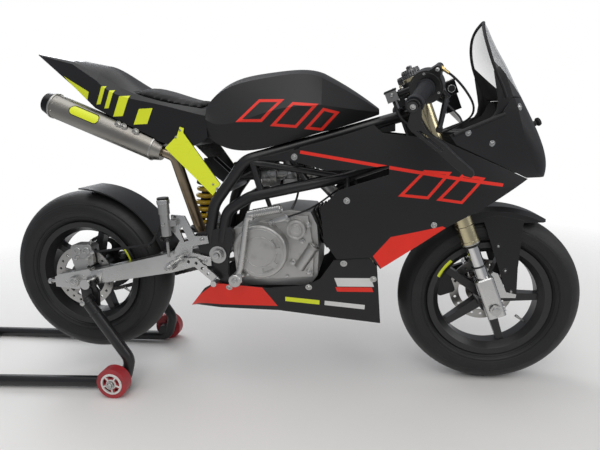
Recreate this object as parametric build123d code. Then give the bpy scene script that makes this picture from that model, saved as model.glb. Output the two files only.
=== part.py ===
"""A mini racing motorcycle standing on its rear paddock stand, millimetres.

X runs forward, Y to the rider's left, Z up from the floor. The model is laid out from the
rear axle at X = 0 and then moved so that its box is centred over the origin.
"""
from build123d import *
from math import cos, radians, sin, tan
import os

# Wheels and stance
WHEELBASE = 1173
REAR_AXLE_Z = 319
FRONT_TYRE_R = 242
FRONT_TYRE_W = 100
REAR_TYRE_R = 252
REAR_TYRE_W = 122
BEAD_R = 152.4
RIM_LIP_R = 162
FRONT_RIM_HALF = 36
REAR_RIM_HALF = 49
RIM_WALL = 6
WELL_R = 132
SPOKES = 5
SPOKE_W = 17
SPOKE_DEPTH = 26
HUB_R = 30
FRONT_HUB_HALF = 52
REAR_HUB_RIGHT = 72
REAR_HUB_LEFT = 80
FRONT_AXLE_R = 10
REAR_AXLE_R = 9
BORE_GAP = 0.3
SEAT_GAP = 0.3
FRONT_AXLE_BORE_R = 6

# Steering and fork
RAKE = 19.5
FORK_OFFSET = 28
LEG_Y = 86
OUTER_TUBE_R = 23
INNER_TUBE_R = 16
OUTER_LOW = 183
FOOT_TOP = 86
FOOT_LOW = -24
FOOT_W = 46
FOOT_T = 44
HEAD_LOW = 425
HEAD_TOP = 568
FORK_TOP = HEAD_TOP + 60
CAP_H = 20
SLIDE = 110
HEAD_R = 27
STEM_R = 14
STEM_BORE_R = 6
CLAMP_H = 22
CLAMP_GAP = 4
RING_H = 24
RING_WALL = 7
BAR_R = 11
BAR_BORE_R = 7
BAR_BORE_DEPTH = 40
GRIP_R = 16.5
GRIP_START = 70
GRIP_LENGTH = 114
DRUM_W = 26
HOSE_R = 3.5
BAR_INNER = (66, 116, HEAD_TOP + 38)
BAR_OUTER = (-13, 290, HEAD_TOP - 6)

# Brakes and drive
FRONT_DISC_R = 90
FRONT_DISC_Y = 50
REAR_DISC_R = 92
REAR_DISC_Y = 66
DISC_T = 4
SPROCKET_R = 84
CHAIN_Y = 74
DRIVE_SPROCKET_R = 32
DRIVE_X = 520
DRIVE_Z = 392
CHAIN_H = 13
CHAIN_W = 14

# Engine
CASE_HALF = 92
CLUTCH_X = 567
CLUTCH_Z = 411
CLUTCH_R = 73
CLUTCH_DEEP = 41
ENGINE_FRONT = 716

# Chassis
FRAME_TUBE_R = 15
BRACE_R = 9
UPPER_BEND = (533, -100, 650)
LOWER_BEND = (800, -92, 598)
PIVOT_X = 442
PIVOT_Z = 397
PIVOT_R = 9
PIVOT_TUBE_R = 21
PLATE_IN = 100
PLATE_OUT = 114
HANGER_Y = 118.3
HANGER_T = 7
BEAM_Y = 95
BEAM_IN_Y = 80
BEAM_TAPER = (302, 376)
BEAM_W = 34
BEAM_H = 56
SHOCK_LOW = (350, 418)
SHOCK_TOP = (404, 640)
SHOCK_PIN_R = 6
EAR_Y = 16
EAR_T = 6
SPRING_R = 29
SPRING_WIRE = 6.5
SPRING_TURNS = 6

# Bodywork
PANEL = 4
GUARD_HALF = 58
SCREEN_T = 3
SCREEN_LOW = 772
NOSE_OPEN = 60
BELLY_GAP = 52
TABLE_REACH = 457

# Stand
ROLLER_X = 127
ROLLER_Y = 190
ROLLER_R = 44.6
ROLLER_W = 30
ROLLER_STUB_R = 10
STAND_TUBE_R = 16
STAND_Y = 152
SPOOL_X = 46
SPOOL_DROP = -2
SPOOL_R = 15
SPOOL_END = BEAM_Y + 46
HANDLE_X = -560
HANDLE_Y = STAND_Y + 18

FRONT_END = WHEELBASE + FRONT_TYRE_R
REAR_END = HANDLE_X - STAND_TUBE_R
CENTRE_X = (FRONT_END + REAR_END) / 2

SLOPE = radians(RAKE)
STEER = Plane(
    origin=(WHEELBASE - FORK_OFFSET * cos(SLOPE), 0, FRONT_TYRE_R - FORK_OFFSET * sin(SLOPE)),
    x_dir=(cos(SLOPE), 0, sin(SLOPE)),
    z_dir=(-sin(SLOPE), 0, cos(SLOPE)),
)
MIRROR = Plane.XZ
BASE = (Align.CENTER, Align.CENTER, Align.MIN)

# Lever guard's outline across the bar's end, down the blade and across it
GUARD_BLADE = [
    (8, 14), (8, -14), (24, -36), (40, -37), (107, -23), (132, -21), (184, -13), (196, -4), (194, 5),
    (186, 8), (132, 1), (107, -1), (60, -11), (34, -6),
]


def fore(x):
    """An x of the front's tables, moved so that the forms keep between engine and front axle."""
    if x <= ENGINE_FRONT:
        return x
    return ENGINE_FRONT + (x - ENGINE_FRONT) * (WHEELBASE - ENGINE_FRONT) / TABLE_REACH


def stretched(outline):
    return [(fore(x), z) for x, z in outline]


def save(name, *shapes):
    """Writes one node, with its solids kept apart unless they touch."""
    solids = [solid for shape in shapes for solid in shape.solids()]
    whole = solids[0] if len(solids) == 1 else Compound(children=solids)
    whole.label = name
    export_step(Pos(-CENTRE_X, 0, 0) * whole, f"parts/{name}.step")


def both(shape):
    """The shape and its mirror image on the other side of the mid-plane."""
    return [shape, mirror(shape, MIRROR)]


def fuse(shapes):
    first, *rest = shapes
    return first.fuse(*rest) if rest else first


def rod(start, end, radius, hole=0):
    """A straight bar between two points, with an optional bore."""
    axis = Vector(*end) - Vector(*start)
    plane = Plane(origin=start, z_dir=axis)
    face = plane * Circle(radius)
    if hole:
        face -= plane * Circle(hole)
    return extrude(face, amount=axis.length)


def bent(points, radii, radius, hole=0):
    """A round tube along straight runs joined by arcs."""
    path = FilletPolyline(*points, radius=radii)
    plane = Plane(origin=path @ 0, z_dir=path % 0)
    tube = sweep(plane * Circle(radius), path=path)
    return tube - sweep(plane * Circle(hole), path=path) if hole else tube


def plate(outline, near, far):
    """An outline of (x, z) points given its thickness from y = near to y = far."""
    face = make_face(Polyline(*[(x, near, z) for x, z in outline], close=True))
    return extrude(face, amount=far - near, dir=(0, 1, 0))


def turned(profile):
    """Revolves (radius, width) points about the axle, which points to the left."""
    face = make_face(Polyline(*[(r, 0, w) for r, w in profile], close=True))
    return Rotation(-90, 0, 0) * revolve(face, axis=Axis.Z)


def disc(radius, low, high, hole=0):
    """A round plate about the axle from y = low to y = high."""
    face = Circle(radius) - Circle(hole) if hole else Circle(radius)
    return Rotation(-90, 0, 0) * (Pos(0, 0, low) * extrude(face, amount=high - low))


def soft_line(points, radius):
    """A hose along straight runs, each corner as wide an arc as the shorter run allows."""
    vectors = [Vector(*p) for p in points]
    bends = []
    for before, at, after in zip(vectors, vectors[1:], vectors[2:]):
        turn = (at - before).get_angle(after - at)
        bends.append(0.45 * min((at - before).length, (after - at).length) / tan(radians(turn / 2)))
    return bent(points, bends, radius)


def tyre(radius, width, rim_half):
    """A slick tyre: round crown, bulged walls and beads between the rim's lips."""
    seat = rim_half - RIM_WALL - SEAT_GAP
    shoulder = radius - 0.37 * width
    wall = (shoulder + RIM_LIP_R) / 2
    crown = ThreePointArc((shoulder, 0, -width / 2), (radius, 0, 0), (shoulder, 0, width / 2))
    sides = [
        ThreePointArc(
            (RIM_LIP_R + 1, 0, s * seat),
            (wall, 0, s * (0.25 * seat + 0.375 * width + 1)),
            (shoulder, 0, s * width / 2),
        )
        for s in (-1, 1)
    ]
    bead = Polyline(
        (RIM_LIP_R + 1, 0, -seat),
        (BEAD_R + SEAT_GAP, 0, -seat),
        (BEAD_R + SEAT_GAP, 0, seat),
        (RIM_LIP_R + 1, 0, seat),
    )
    face = make_face([crown, *sides, *bead.edges()])
    return Rotation(-90, 0, 0) * revolve(face, axis=Axis.Z)


def rim(half, hub_right, hub_left, bore):
    """A cast wheel: a barrel with a sunk well between two lips, and a hub with five slim spokes."""
    lip = half - RIM_WALL
    well = half / 2
    barrel = turned([
        (RIM_LIP_R, -half), (RIM_LIP_R, -lip), (BEAD_R, -lip), (BEAD_R, lip), (RIM_LIP_R, lip),
        (RIM_LIP_R, half), (BEAD_R - RIM_WALL, half - 2), (WELL_R, well), (WELL_R, -well),
        (BEAD_R - RIM_WALL, 2 - half),
    ])
    hub = disc(HUB_R, -hub_right, hub_left)
    length = BEAD_R - RIM_WALL - HUB_R / 2
    spokes = []
    for i in range(SPOKES):
        blade = loft([
            Pos(0, 0, HUB_R / 2) * Rectangle(SPOKE_W + 10, SPOKE_DEPTH + 8),
            Pos(0, 0, HUB_R / 2 + length) * Rectangle(SPOKE_W, SPOKE_DEPTH),
        ])
        spokes.append(Rotation(0, 360 / SPOKES * i + 18, 0) * blade)
    star = fuse([hub, *spokes]) - disc(bore, -hub_right - 1, hub_left + 1) - barrel
    return barrel, star


def brake_disc(radius, hub_radius, y):
    """A brake disc with a ring of drilled holes, on its carrier."""
    ring = disc(radius, y - DISC_T / 2, y + DISC_T / 2, radius - 26)
    carrier = disc(hub_radius + 14, y - DISC_T / 2, y + DISC_T / 2, hub_radius)
    arms = []
    for i in range(5):
        arm = Pos(0, y, (radius - 20 + hub_radius + 8) / 2) * Box(12, DISC_T, radius - 22 - hub_radius)
        arms.append(Rotation(0, 72 * i, 0) * arm)
    holes = []
    for i in range(20):
        hole = Pos(0, y, radius - 13) * (Rotation(90, 0, 0) * Cylinder(4, DISC_T + 2))
        holes.append(Rotation(0, 18 * i, 0) * hole)
    return fuse([ring, carrier, *arms]) - holes


def loft_rows(rows, shape, ruled=False):
    """Lofts the outlines that a table of sections gives, one row to a section."""
    return loft([shape(*row) for row in rows], ruled=ruled)


def front_at(shape):
    return Pos(WHEELBASE, 0, FRONT_TYRE_R) * shape


def rear_at(shape):
    return Pos(0, 0, REAR_AXLE_Z) * shape


def steered(shape):
    return STEER.location * shape


def wheels():
    front_bore = FRONT_AXLE_R + BORE_GAP
    rear_bore = REAR_AXLE_R + BORE_GAP
    save("front_tyre", front_at(tyre(FRONT_TYRE_R, FRONT_TYRE_W, FRONT_RIM_HALF)))
    front_rim = rim(FRONT_RIM_HALF, FRONT_HUB_HALF, FRONT_HUB_HALF, front_bore)
    save("front_rim", *[front_at(piece) for piece in front_rim])
    save("front_disc", front_at(brake_disc(FRONT_DISC_R, HUB_R, FRONT_DISC_Y)))
    save("rear_tyre", rear_at(tyre(REAR_TYRE_R, REAR_TYRE_W, REAR_RIM_HALF)))
    rear_rim = rim(REAR_RIM_HALF, REAR_HUB_RIGHT, REAR_HUB_LEFT, rear_bore)
    save("rear_rim", *[rear_at(piece) for piece in rear_rim])
    save("rear_disc", rear_at(brake_disc(REAR_DISC_R, HUB_R, -REAR_DISC_Y)))
    teeth = disc(SPROCKET_R, CHAIN_Y - 3, CHAIN_Y + 3, HUB_R)
    windows = [
        Rotation(0, 60 * i, 0) * (Pos(0, CHAIN_Y, 56) * (Rotation(90, 0, 0) * Cylinder(15, 12)))
        for i in range(6)
    ]
    save("rear_sprocket", rear_at(teeth - windows))


def fork():
    outers, inners, feet = [], [], []
    for side in (-1, 1):
        leg = Pos(FORK_OFFSET, side * LEG_Y, 0)
        outer = leg * (Pos(0, 0, OUTER_LOW) * Cylinder(OUTER_TUBE_R, FORK_TOP - OUTER_LOW, align=BASE))
        collar = leg * (Pos(0, 0, OUTER_LOW) * Cylinder(OUTER_TUBE_R + 1, 10, align=BASE))
        cap = leg * (Pos(0, 0, FORK_TOP) * Cylinder(OUTER_TUBE_R - 2, CAP_H, align=BASE))
        screw = leg * (Pos(0, 0, FORK_TOP + CAP_H) * Cylinder(7, 7, align=BASE))
        bore = leg * (Pos(0, 0, OUTER_LOW) * Cylinder(INNER_TUBE_R + SEAT_GAP, SLIDE + SEAT_GAP, align=BASE))
        outers.append(fuse([outer, collar, cap, screw]) - bore)
        inner_h = OUTER_LOW + SLIDE - FOOT_TOP
        inners.append(leg * (Pos(0, 0, FOOT_TOP) * Cylinder(INNER_TUBE_R, inner_h, align=BASE)))
        block = leg * (Pos(0, 0, (FOOT_TOP + FOOT_LOW) / 2) * Box(FOOT_W, FOOT_T, FOOT_TOP - FOOT_LOW))
        block = fillet(block.edges().filter_by(Axis.Z), 8)
        block = chamfer(block.faces().sort_by(Axis.Z)[-1].edges(), 3)
        block -= leg * (Rotation(90, 0, 0) * Cylinder(FRONT_AXLE_R, FOOT_T + 10))
        slit = leg * (Pos(0, 0, FOOT_LOW) * Box(3, FOOT_T + 2, 24))
        near, far = sorted((side * (GUARD_HALF + PANEL + SEAT_GAP), side * (LEG_Y - FOOT_T / 2 + 6)))
        arm = plate([(-12, 78), (2, 90), (14, 84), (36, 34), (61, 28), (60, 18), (12, 18)], near, far)
        feet.append(steered(block - slit) + front_at(arm))
    save("fork_outer_tubes", *[steered(s) for s in outers])
    save("fork_inner_tubes", *[steered(s) for s in inners])
    save("fork_feet", *feet)

    half = LEG_Y + FOOT_T / 2 + 3
    axle = disc(FRONT_AXLE_R, -half, half, FRONT_AXLE_BORE_R)
    heads = [
        disc(FRONT_AXLE_R + 4, *span, FRONT_AXLE_BORE_R)
        for span in ((-half - 6, -half), (half, half + 6))
    ]
    spacers = [
        disc(FRONT_AXLE_R + 5, *sorted((s * (FRONT_HUB_HALF + 0.5), s * (LEG_Y - FOOT_T / 2))), FRONT_AXLE_R)
        for s in (-1, 1)
    ]
    save("front_axle", front_at(fuse([axle, *heads, *spacers])))


def triple_clamps():
    clamps = []
    low = HEAD_LOW - CLAMP_GAP - CLAMP_H
    for base in (low, HEAD_TOP + CLAMP_GAP):
        middle = Pos(6, 0, base) * extrude(Rectangle(60, 2 * LEG_Y), amount=CLAMP_H)
        eyes = [
            Pos(FORK_OFFSET, s * LEG_Y, base) * Cylinder(OUTER_TUBE_R + 8, CLAMP_H, align=BASE)
            for s in (-1, 1)
        ]
        holes = [
            Pos(FORK_OFFSET, s * LEG_Y, base - 1) * Cylinder(OUTER_TUBE_R + SEAT_GAP, CLAMP_H + 2, align=BASE)
            for s in (-1, 1)
        ]
        windows = [
            Pos(8, s * 40, base - 1) * extrude(RectangleRounded(30, 22, 6), amount=CLAMP_H + 2)
            for s in (-1, 1)
        ]
        clamps.append(fuse([middle, *eyes]) - holes - windows)
    height = HEAD_TOP + CLAMP_GAP + CLAMP_H + 8 - low
    stem = Pos(0, 0, low) * Cylinder(STEM_R, height, align=BASE)
    nut = Pos(0, 0, low + height - 8) * extrude(RegularPolygon(20, 6), amount=8)
    bore = Pos(0, 0, low - 1) * Cylinder(STEM_BORE_R, height + 2, align=BASE)
    stem = stem + nut - bore
    save("triple_clamps", steered(stem), *[steered(clamp - stem - bore) for clamp in clamps])


def bar_line(side):
    """The inner end, direction and length of one handlebar, in the steering frame."""
    start = Vector(BAR_INNER[0], side * BAR_INNER[1], BAR_INNER[2])
    end = Vector(BAR_OUTER[0], side * BAR_OUTER[1], BAR_OUTER[2])
    reach = end - start
    return start, reach.normalized(), reach.length


def slab(start, end, wide_start, wide_end, thick):
    """A flat tapered bar between two points, rounded at the far end."""
    reach = Vector(*end) - Vector(*start)
    ends = [
        Plane(origin=point, z_dir=reach) * RectangleRounded(thick, width, thick / 3)
        for point, width in ((start, wide_start), (end, wide_end))
    ]
    along = reach.normalized()
    knob = rod(tuple(Vector(*end) - along * 5), tuple(Vector(*end) + along * 8), wide_end * 0.7)
    return loft(ends) + fillet(knob.edges().filter_by(GeomType.CIRCLE), 3)


def controls():
    bars, grips, bar_room = [], [], {}
    ring_low = HEAD_TOP + CLAMP_GAP + CLAMP_H + 2
    for side in (-1, 1):
        start, along, length = bar_line(side)
        end = start + along * length
        leg = Pos(FORK_OFFSET, side * LEG_Y, 0)
        ring = leg * (Pos(0, 0, ring_low) * Cylinder(OUTER_TUBE_R + RING_WALL, RING_H, align=BASE))
        hole = leg * (Pos(0, 0, ring_low - 2) * Cylinder(OUTER_TUBE_R + SEAT_GAP, RING_H + 4, align=BASE))
        root, tip = (FORK_OFFSET + 26, side * (LEG_Y + 8), BAR_INNER[2]), tuple(start + along * 8)
        arm = rod(root, tip, BAR_R)
        loose_ring = leg * (
            Pos(0, 0, ring_low - SEAT_GAP)
            * Cylinder(OUTER_TUBE_R + RING_WALL + SEAT_GAP, RING_H + 2 * SEAT_GAP, align=BASE)
        )
        loose_bar = rod(tuple(start - along * 4), tuple(start + along * length), BAR_R + SEAT_GAP)
        bar_room[side] = fuse([loose_ring, rod(root, tip, BAR_R + SEAT_GAP), loose_bar])
        bar = rod(tuple(start), tuple(end), BAR_R)
        drill = rod(tuple(end - along * BAR_BORE_DEPTH), tuple(end + along), BAR_BORE_R)
        bars.append(fuse([ring, arm, bar]) - hole - drill)
        grip_start = start + along * GRIP_START
        grip = rod(tuple(grip_start), tuple(grip_start + along * GRIP_LENGTH), GRIP_R, BAR_R + SEAT_GAP)
        flange = rod(tuple(grip_start), tuple(grip_start + along * 6), GRIP_R + 5, BAR_R + SEAT_GAP)
        grips.append(grip + flange)
    save("clip_on_bars", *[steered(s) for s in bars])
    save("hand_grips", *[steered(s) for s in grips])

    start, along, length = bar_line(-1)
    lobe_dir = Vector(0.693, -0.457, 0.559)
    drum_at = start + along * (GRIP_START - DRUM_W - 2)
    face = Plane(origin=tuple(drum_at), x_dir=tuple(lobe_dir), z_dir=tuple(along))
    lobe = Pos(46, 0) * Circle(9) + make_face(Polyline((16, 24), (49, 8), (49, -8), (16, -24), close=True))
    drum = extrude(face * (Circle(38) + lobe - Circle(BAR_R + SEAT_GAP)), amount=DRUM_W)
    save("throttle_housing", steered(drum))

    tip = start + along * (length - 9)
    hang = Plane(origin=tuple(tip), x_dir=(0.349, 0.078, -0.934), z_dir=tuple(along))
    blade = make_face(Polyline(*GUARD_BLADE, close=True))
    slot = make_face(Polyline((42, -29), (112, -15.5), (112, -9.5), (50, -20), close=True))
    guard = extrude(hang * (blade - slot - Circle(BAR_R + SEAT_GAP)), amount=8)
    save("lever_guard", steered(guard))

    # Columns: name, side, end of its arm, blade's start and end, middle and size of its cylinder
    levers = (
        (
            "brake_lever", -1, (81, -140, 548), (78, -139, 551), (24, -276, 500),
            (-34, -106, 603), (26, 36, 24),
        ),
        (
            "clutch_lever", 1, (124, 190, 540), (124, 206, 526), (178, 272, 424),
            (140, 198, 526), (44, 26, 46),
        ),
    )
    for name, side, arm_end, blade_start, blade_end, block_at, block in levers:
        start, along, length = bar_line(side)
        perch_at = start + along * 10
        perch = rod(tuple(perch_at), tuple(perch_at + along * 16), BAR_R + 8)
        middle = perch_at + along * 8
        arm = rod(tuple(middle), arm_end, 9)
        link = rod(tuple(middle), block_at, 7)
        body = Pos(*block_at) * Box(*block)
        pieces = [perch, arm, link, body, slab(blade_start, blade_end, 16, 10, 9)]
        if name == "clutch_lever":
            pieces.append(Pos(block_at[0] + 12, block_at[1], block_at[2] + 23) * Box(32, 28, 38, align=BASE))
        save(name, steered(fuse(pieces) - bar_room[side]))

    hose = soft_line(
        [(-34, -112, 590), (-34, -126, 540), (30, -134, 470), (74, -80, 420), (76, 60, 400),
         (72, 104, 300), (40, 120, 170), (-66, 66, 116), (-66, 66, 104.3)],
        HOSE_R,
    )
    save("front_brake_hose", steered(hose))


def front_brake_and_guard():
    face = FORK_OFFSET - FOOT_W / 2
    mount = Pos(face - 30 - SEAT_GAP, LEG_Y - 2, 52) * Box(60, 16, 60)
    body = Pos(-68, LEG_Y - 26, 62) * Box(52, 36, 84)
    body = fillet(body.edges().filter_by(Axis.Y), 10)
    pads = Pos(FORK_OFFSET, FRONT_DISC_Y, 0) * disc(FRONT_DISC_R + 5, -DISC_T - 1, DISC_T + 1)
    save("front_caliper", steered(fuse([body, mount]) - pads))

    top, skirt = FRONT_TYRE_R + 18, FRONT_TYRE_R - 18
    edge, flat = GUARD_HALF + PANEL, GUARD_HALF - 18
    hoop = turned([
        (skirt, -edge), (top - 10, -edge + 1), (top, -flat), (top, flat), (top - 10, edge - 1), (skirt, edge),
        (skirt, GUARD_HALF), (top - 12, GUARD_HALF - 2), (top - PANEL, flat - 2),
        (top - PANEL, 2 - flat), (top - 12, 2 - GUARD_HALF), (skirt, -GUARD_HALF),
    ])
    beak = plate([(-170, 335), (-115, 226), (-60, 219), (128, 219), (150, 240), (230, 335)], -70, 70)
    leg = plate([(-27, 232), (9, 240), (73, 226), (64, 99), (64, 24), (40, 24)], -edge, -GUARD_HALF)
    save("front_mudguard", front_at(fuse([hoop & beak, *both(leg)])))


def frame_parts(skins):
    """The frame's tubes, plates, stays and head; returns all its solids for what is fitted round them."""
    head_high = tuple(STEER.from_local_coords(Vector(-7, -28, HEAD_TOP - 20)))
    head_low = tuple(STEER.from_local_coords(Vector(-8, -28, HEAD_LOW + 21)))
    upper = bent([(415, -102, 430), (440, -102, 535), UPPER_BEND, head_high], [90, 60], FRAME_TUBE_R)
    lower = bent(
        [(452, -102, 430), (474, -102, 515), (540, -102, 553), LOWER_BEND, head_low],
        [50, 70, 100],
        FRAME_TUBE_R,
    )
    head_h = HEAD_TOP - HEAD_LOW
    head = steered(Pos(0, 0, HEAD_LOW) * Cylinder(HEAD_R, head_h, align=BASE))
    bore = steered(Pos(0, 0, HEAD_LOW - 1) * Cylinder(STEM_R + BORE_GAP, head_h + 2, align=BASE))
    upper, lower = upper - head, lower - head
    lower -= upper
    tubes = [*both(upper), *both(lower)]
    save("frame", *tubes)

    boss = Pos(PIVOT_X, 0, PIVOT_Z) * disc(30, -PLATE_OUT, -PLATE_IN)
    web = plate(
        [
            (382, 456), (386, 426), (398, 366), (430, 330), (462, 298), (482, 302), (466, 340),
            (470, 388), (489, 440), (487, 466), (474, 474),
        ],
        -PLATE_OUT, -PLATE_IN,
    )
    mounts = [rod((x, -PLATE_IN, z), (x, -CASE_HALF - SEAT_GAP, z), 9) for x, z in ((474, 311), (480, 454))]
    pivot_hole = Pos(PIVOT_X, 0, PIVOT_Z) * disc(PIVOT_R, -130, 130)
    web = fuse([boss, web, *mounts]) - upper - lower - pivot_hole
    plates = both(web)
    save("frame_plates", *plates)

    # Columns: start, end and radius of each stay on the right side
    stays = (
        ((548, -100, 645), (778, -93, 600), BRACE_R),
        ((552, -100, 646), (572, -101, 562), BRACE_R),
        ((640, -80, 668), (700, -96, 582), BRACE_R),
    )
    skin_in, nose_in = skins
    small = []
    for start, end, radius in stays:
        small.append(fuse([rod(start, end, radius)]) - upper - lower)
    small[1] -= small[0]
    small[2] -= small[0]
    gusset = plate([(866, 728), (925, 742), (925, 706), (882, 702)], -42, -37)
    gusset -= plate([(884, 722), (908, 728), (908, 720), (886, 714)], -43, -36)
    small.append(gusset - upper - head)
    for start, end in (((672, -80, 680), (672, -190, 642)), ((800, -92, 598), (800, -190, 540))):
        small.append((rod(start, end, 6) & skin_in) - upper - lower - small[0])
    cross = [rod((x, -100, z), (x, 100, z), 13) for x, z in ((470, 575), (556, 657))]
    pin_hole = Pos(SHOCK_TOP[0], 0, SHOCK_TOP[1]) * disc(SHOCK_PIN_R, -30, 30)
    ears = [
        plate([(392, 655), (392, 628), (446, 582), (478, 572), (482, 592), (418, 655)], y, y + EAR_T)
        - cross[0] - pin_hole
        for y in (-EAR_Y - EAR_T, EAR_Y)
    ]
    cross = [tube - tubes for tube in cross]
    right = [solid for piece in small for solid in piece.solids() if solid.volume > 50]
    braces = [*right, *[mirror(solid, MIRROR) for solid in right], *cross, *ears]
    cross[1] -= [*right[:2], *[mirror(solid, MIRROR) for solid in right[:2]]]
    save("frame_braces", *braces)

    nose_bar = (fore(1150), 150, 690)
    head_middle = STEER.from_local_coords(Vector(0, 0, (HEAD_LOW + HEAD_TOP) / 2))
    neck = rod(tuple(head_middle), (nose_bar[0], 0, nose_bar[2]), 10) - head
    bar = (rod((nose_bar[0], -nose_bar[1], nose_bar[2]), nose_bar, 8) & nose_in) - neck
    save("steering_head", head - bore, neck, bar)
    return [*tubes, *plates, *braces, head, neck, bar]


def swingarm_pivot():
    pivot = disc(PIVOT_R, -PLATE_OUT - 4, PLATE_OUT + 4)
    caps = [disc(24, *span) for span in ((-PLATE_OUT - 4, -PLATE_OUT), (PLATE_OUT, PLATE_OUT + 4))]
    nuts = [
        Pos(0, y, 0) * (Rotation(90, 0, 0) * extrude(RegularPolygon(15, 6), amount=5, both=True))
        for y in (-PLATE_OUT - 8, PLATE_OUT + 8)
    ]
    save("swingarm_pivot", Pos(PIVOT_X, 0, PIVOT_Z) * fuse([pivot, *caps, *nuts]))


def swingarm():
    rise = (PIVOT_Z - REAR_AXLE_Z) / PIVOT_X
    def level(x):
        return REAR_AXLE_Z + rise * x
    # Columns: x, middle y, width, height
    stations = [
        (40, BEAM_Y, BEAM_W, 40),
        (BEAM_TAPER[0], BEAM_Y, BEAM_W, BEAM_H),
        (BEAM_TAPER[1], BEAM_IN_Y, BEAM_W - 2, BEAM_H - 4),
        (PIVOT_X, BEAM_IN_Y, BEAM_W - 2, BEAM_H - 14),
    ]
    beams = []
    for side in (-1, 1):
        beams.append(loft(
            [
                Plane(origin=(x, side * y, level(x)), x_dir=(0, 1, 0), z_dir=(1, 0, 0))
                * Rectangle(width, height)
                for x, y, width, height in stations
            ],
            ruled=True,
        ))
        block = plate(
            [(-66, -18), (-66, 12), (-50, 20), (48, 36), (60, -14), (0, -26)],
            side * (BEAM_Y + 5) - 12, side * (BEAM_Y + 5) + 12,
        )
        adjuster = rod((-96, side * (BEAM_Y + 5), -4), (-60, side * (BEAM_Y + 5), -4), 5)
        head = rod((-92, side * (BEAM_Y + 5), -4), (-84, side * (BEAM_Y + 5), -4), 9)
        spool, lip = [
            Pos(SPOOL_X, 0, SPOOL_DROP) * disc(radius, *sorted((side * (BEAM_Y + near), side * SPOOL_END)))
            for radius, near in ((SPOOL_R - 6, 10), (SPOOL_R, 40))
        ]
        beams += [rear_at(piece) for piece in (block, adjuster, head, spool, lip)]
    tube = Pos(PIVOT_X, 0, PIVOT_Z) * disc(PIVOT_TUBE_R, -PLATE_IN + 1, PLATE_IN - 1)
    brace = Pos(318, 0, level(318)) * Box(34, 2 * BEAM_Y, 40)
    ears = [
        plate([(318, level(318) + 10), (335, 432), (362, 432), (352, level(352) - 6)], y, y + EAR_T)
        for y in (-EAR_Y - EAR_T, EAR_Y)
    ]
    whole = fuse([*beams, tube, brace, *ears])
    whole -= Pos(PIVOT_X, 0, PIVOT_Z) * disc(PIVOT_R + BORE_GAP, -130, 130)
    whole -= rear_at(disc(REAR_AXLE_R, -130, 130))
    whole -= Pos(SHOCK_LOW[0], 0, SHOCK_LOW[1]) * disc(SHOCK_PIN_R, -30, 30)
    save("swingarm", whole)

    half = BEAM_Y + 17
    axle = disc(REAR_AXLE_R, -half, half)
    nuts = [
        Pos(0, y, 0) * (Rotation(90, 0, 0) * extrude(RegularPolygon(16, 6), amount=6, both=True))
        for y in (-half - 6, half + 6)
    ]
    spacers = [
        disc(REAR_AXLE_R + 6, *sorted((s * (hub + 0.5), s * (BEAM_Y - 7))), REAR_AXLE_R)
        for s, hub in ((-1, REAR_HUB_RIGHT), (1, REAR_HUB_LEFT))
    ]
    save("rear_axle", rear_at(fuse([axle, *nuts, *spacers])))


def shock():
    low = Vector(SHOCK_LOW[0], 0, SHOCK_LOW[1])
    top = Vector(SHOCK_TOP[0], 0, SHOCK_TOP[1])
    along = (top - low).normalized()
    def at(s):
        return tuple(low + along * s)
    length = (top - low).length
    pins = [Pos(x, 0, z) * disc(SHOCK_PIN_R - 0.05, -24, 24) for x, z in (SHOCK_LOW, SHOCK_TOP)]
    eyes = [Pos(x, 0, z) * disc(15, -13, 13) for x, z in (SHOCK_LOW, SHOCK_TOP)]
    # Columns: start, end, radius along the shock
    rounds = [(0, 110, 8), (24, 32, SPRING_R + 2), (96, length, 14.5), (164, 176, SPRING_R + 3)]
    save("shock_body", fuse([*[rod(at(a), at(b), r) for a, b, r in rounds], *pins, *eyes]))

    plane = Plane(origin=at(32 + SPRING_WIRE + 0.3), z_dir=along)
    travel = 164 - 32 - 2 * SPRING_WIRE - 0.6
    helix = Helix(pitch=travel / SPRING_TURNS, height=travel, radius=SPRING_R - SPRING_WIRE)
    wire = Plane(origin=helix @ 0, z_dir=helix % 0) * Circle(SPRING_WIRE)
    save("shock_spring", plane.location * sweep(wire, path=helix, is_frenet=True))


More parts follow.
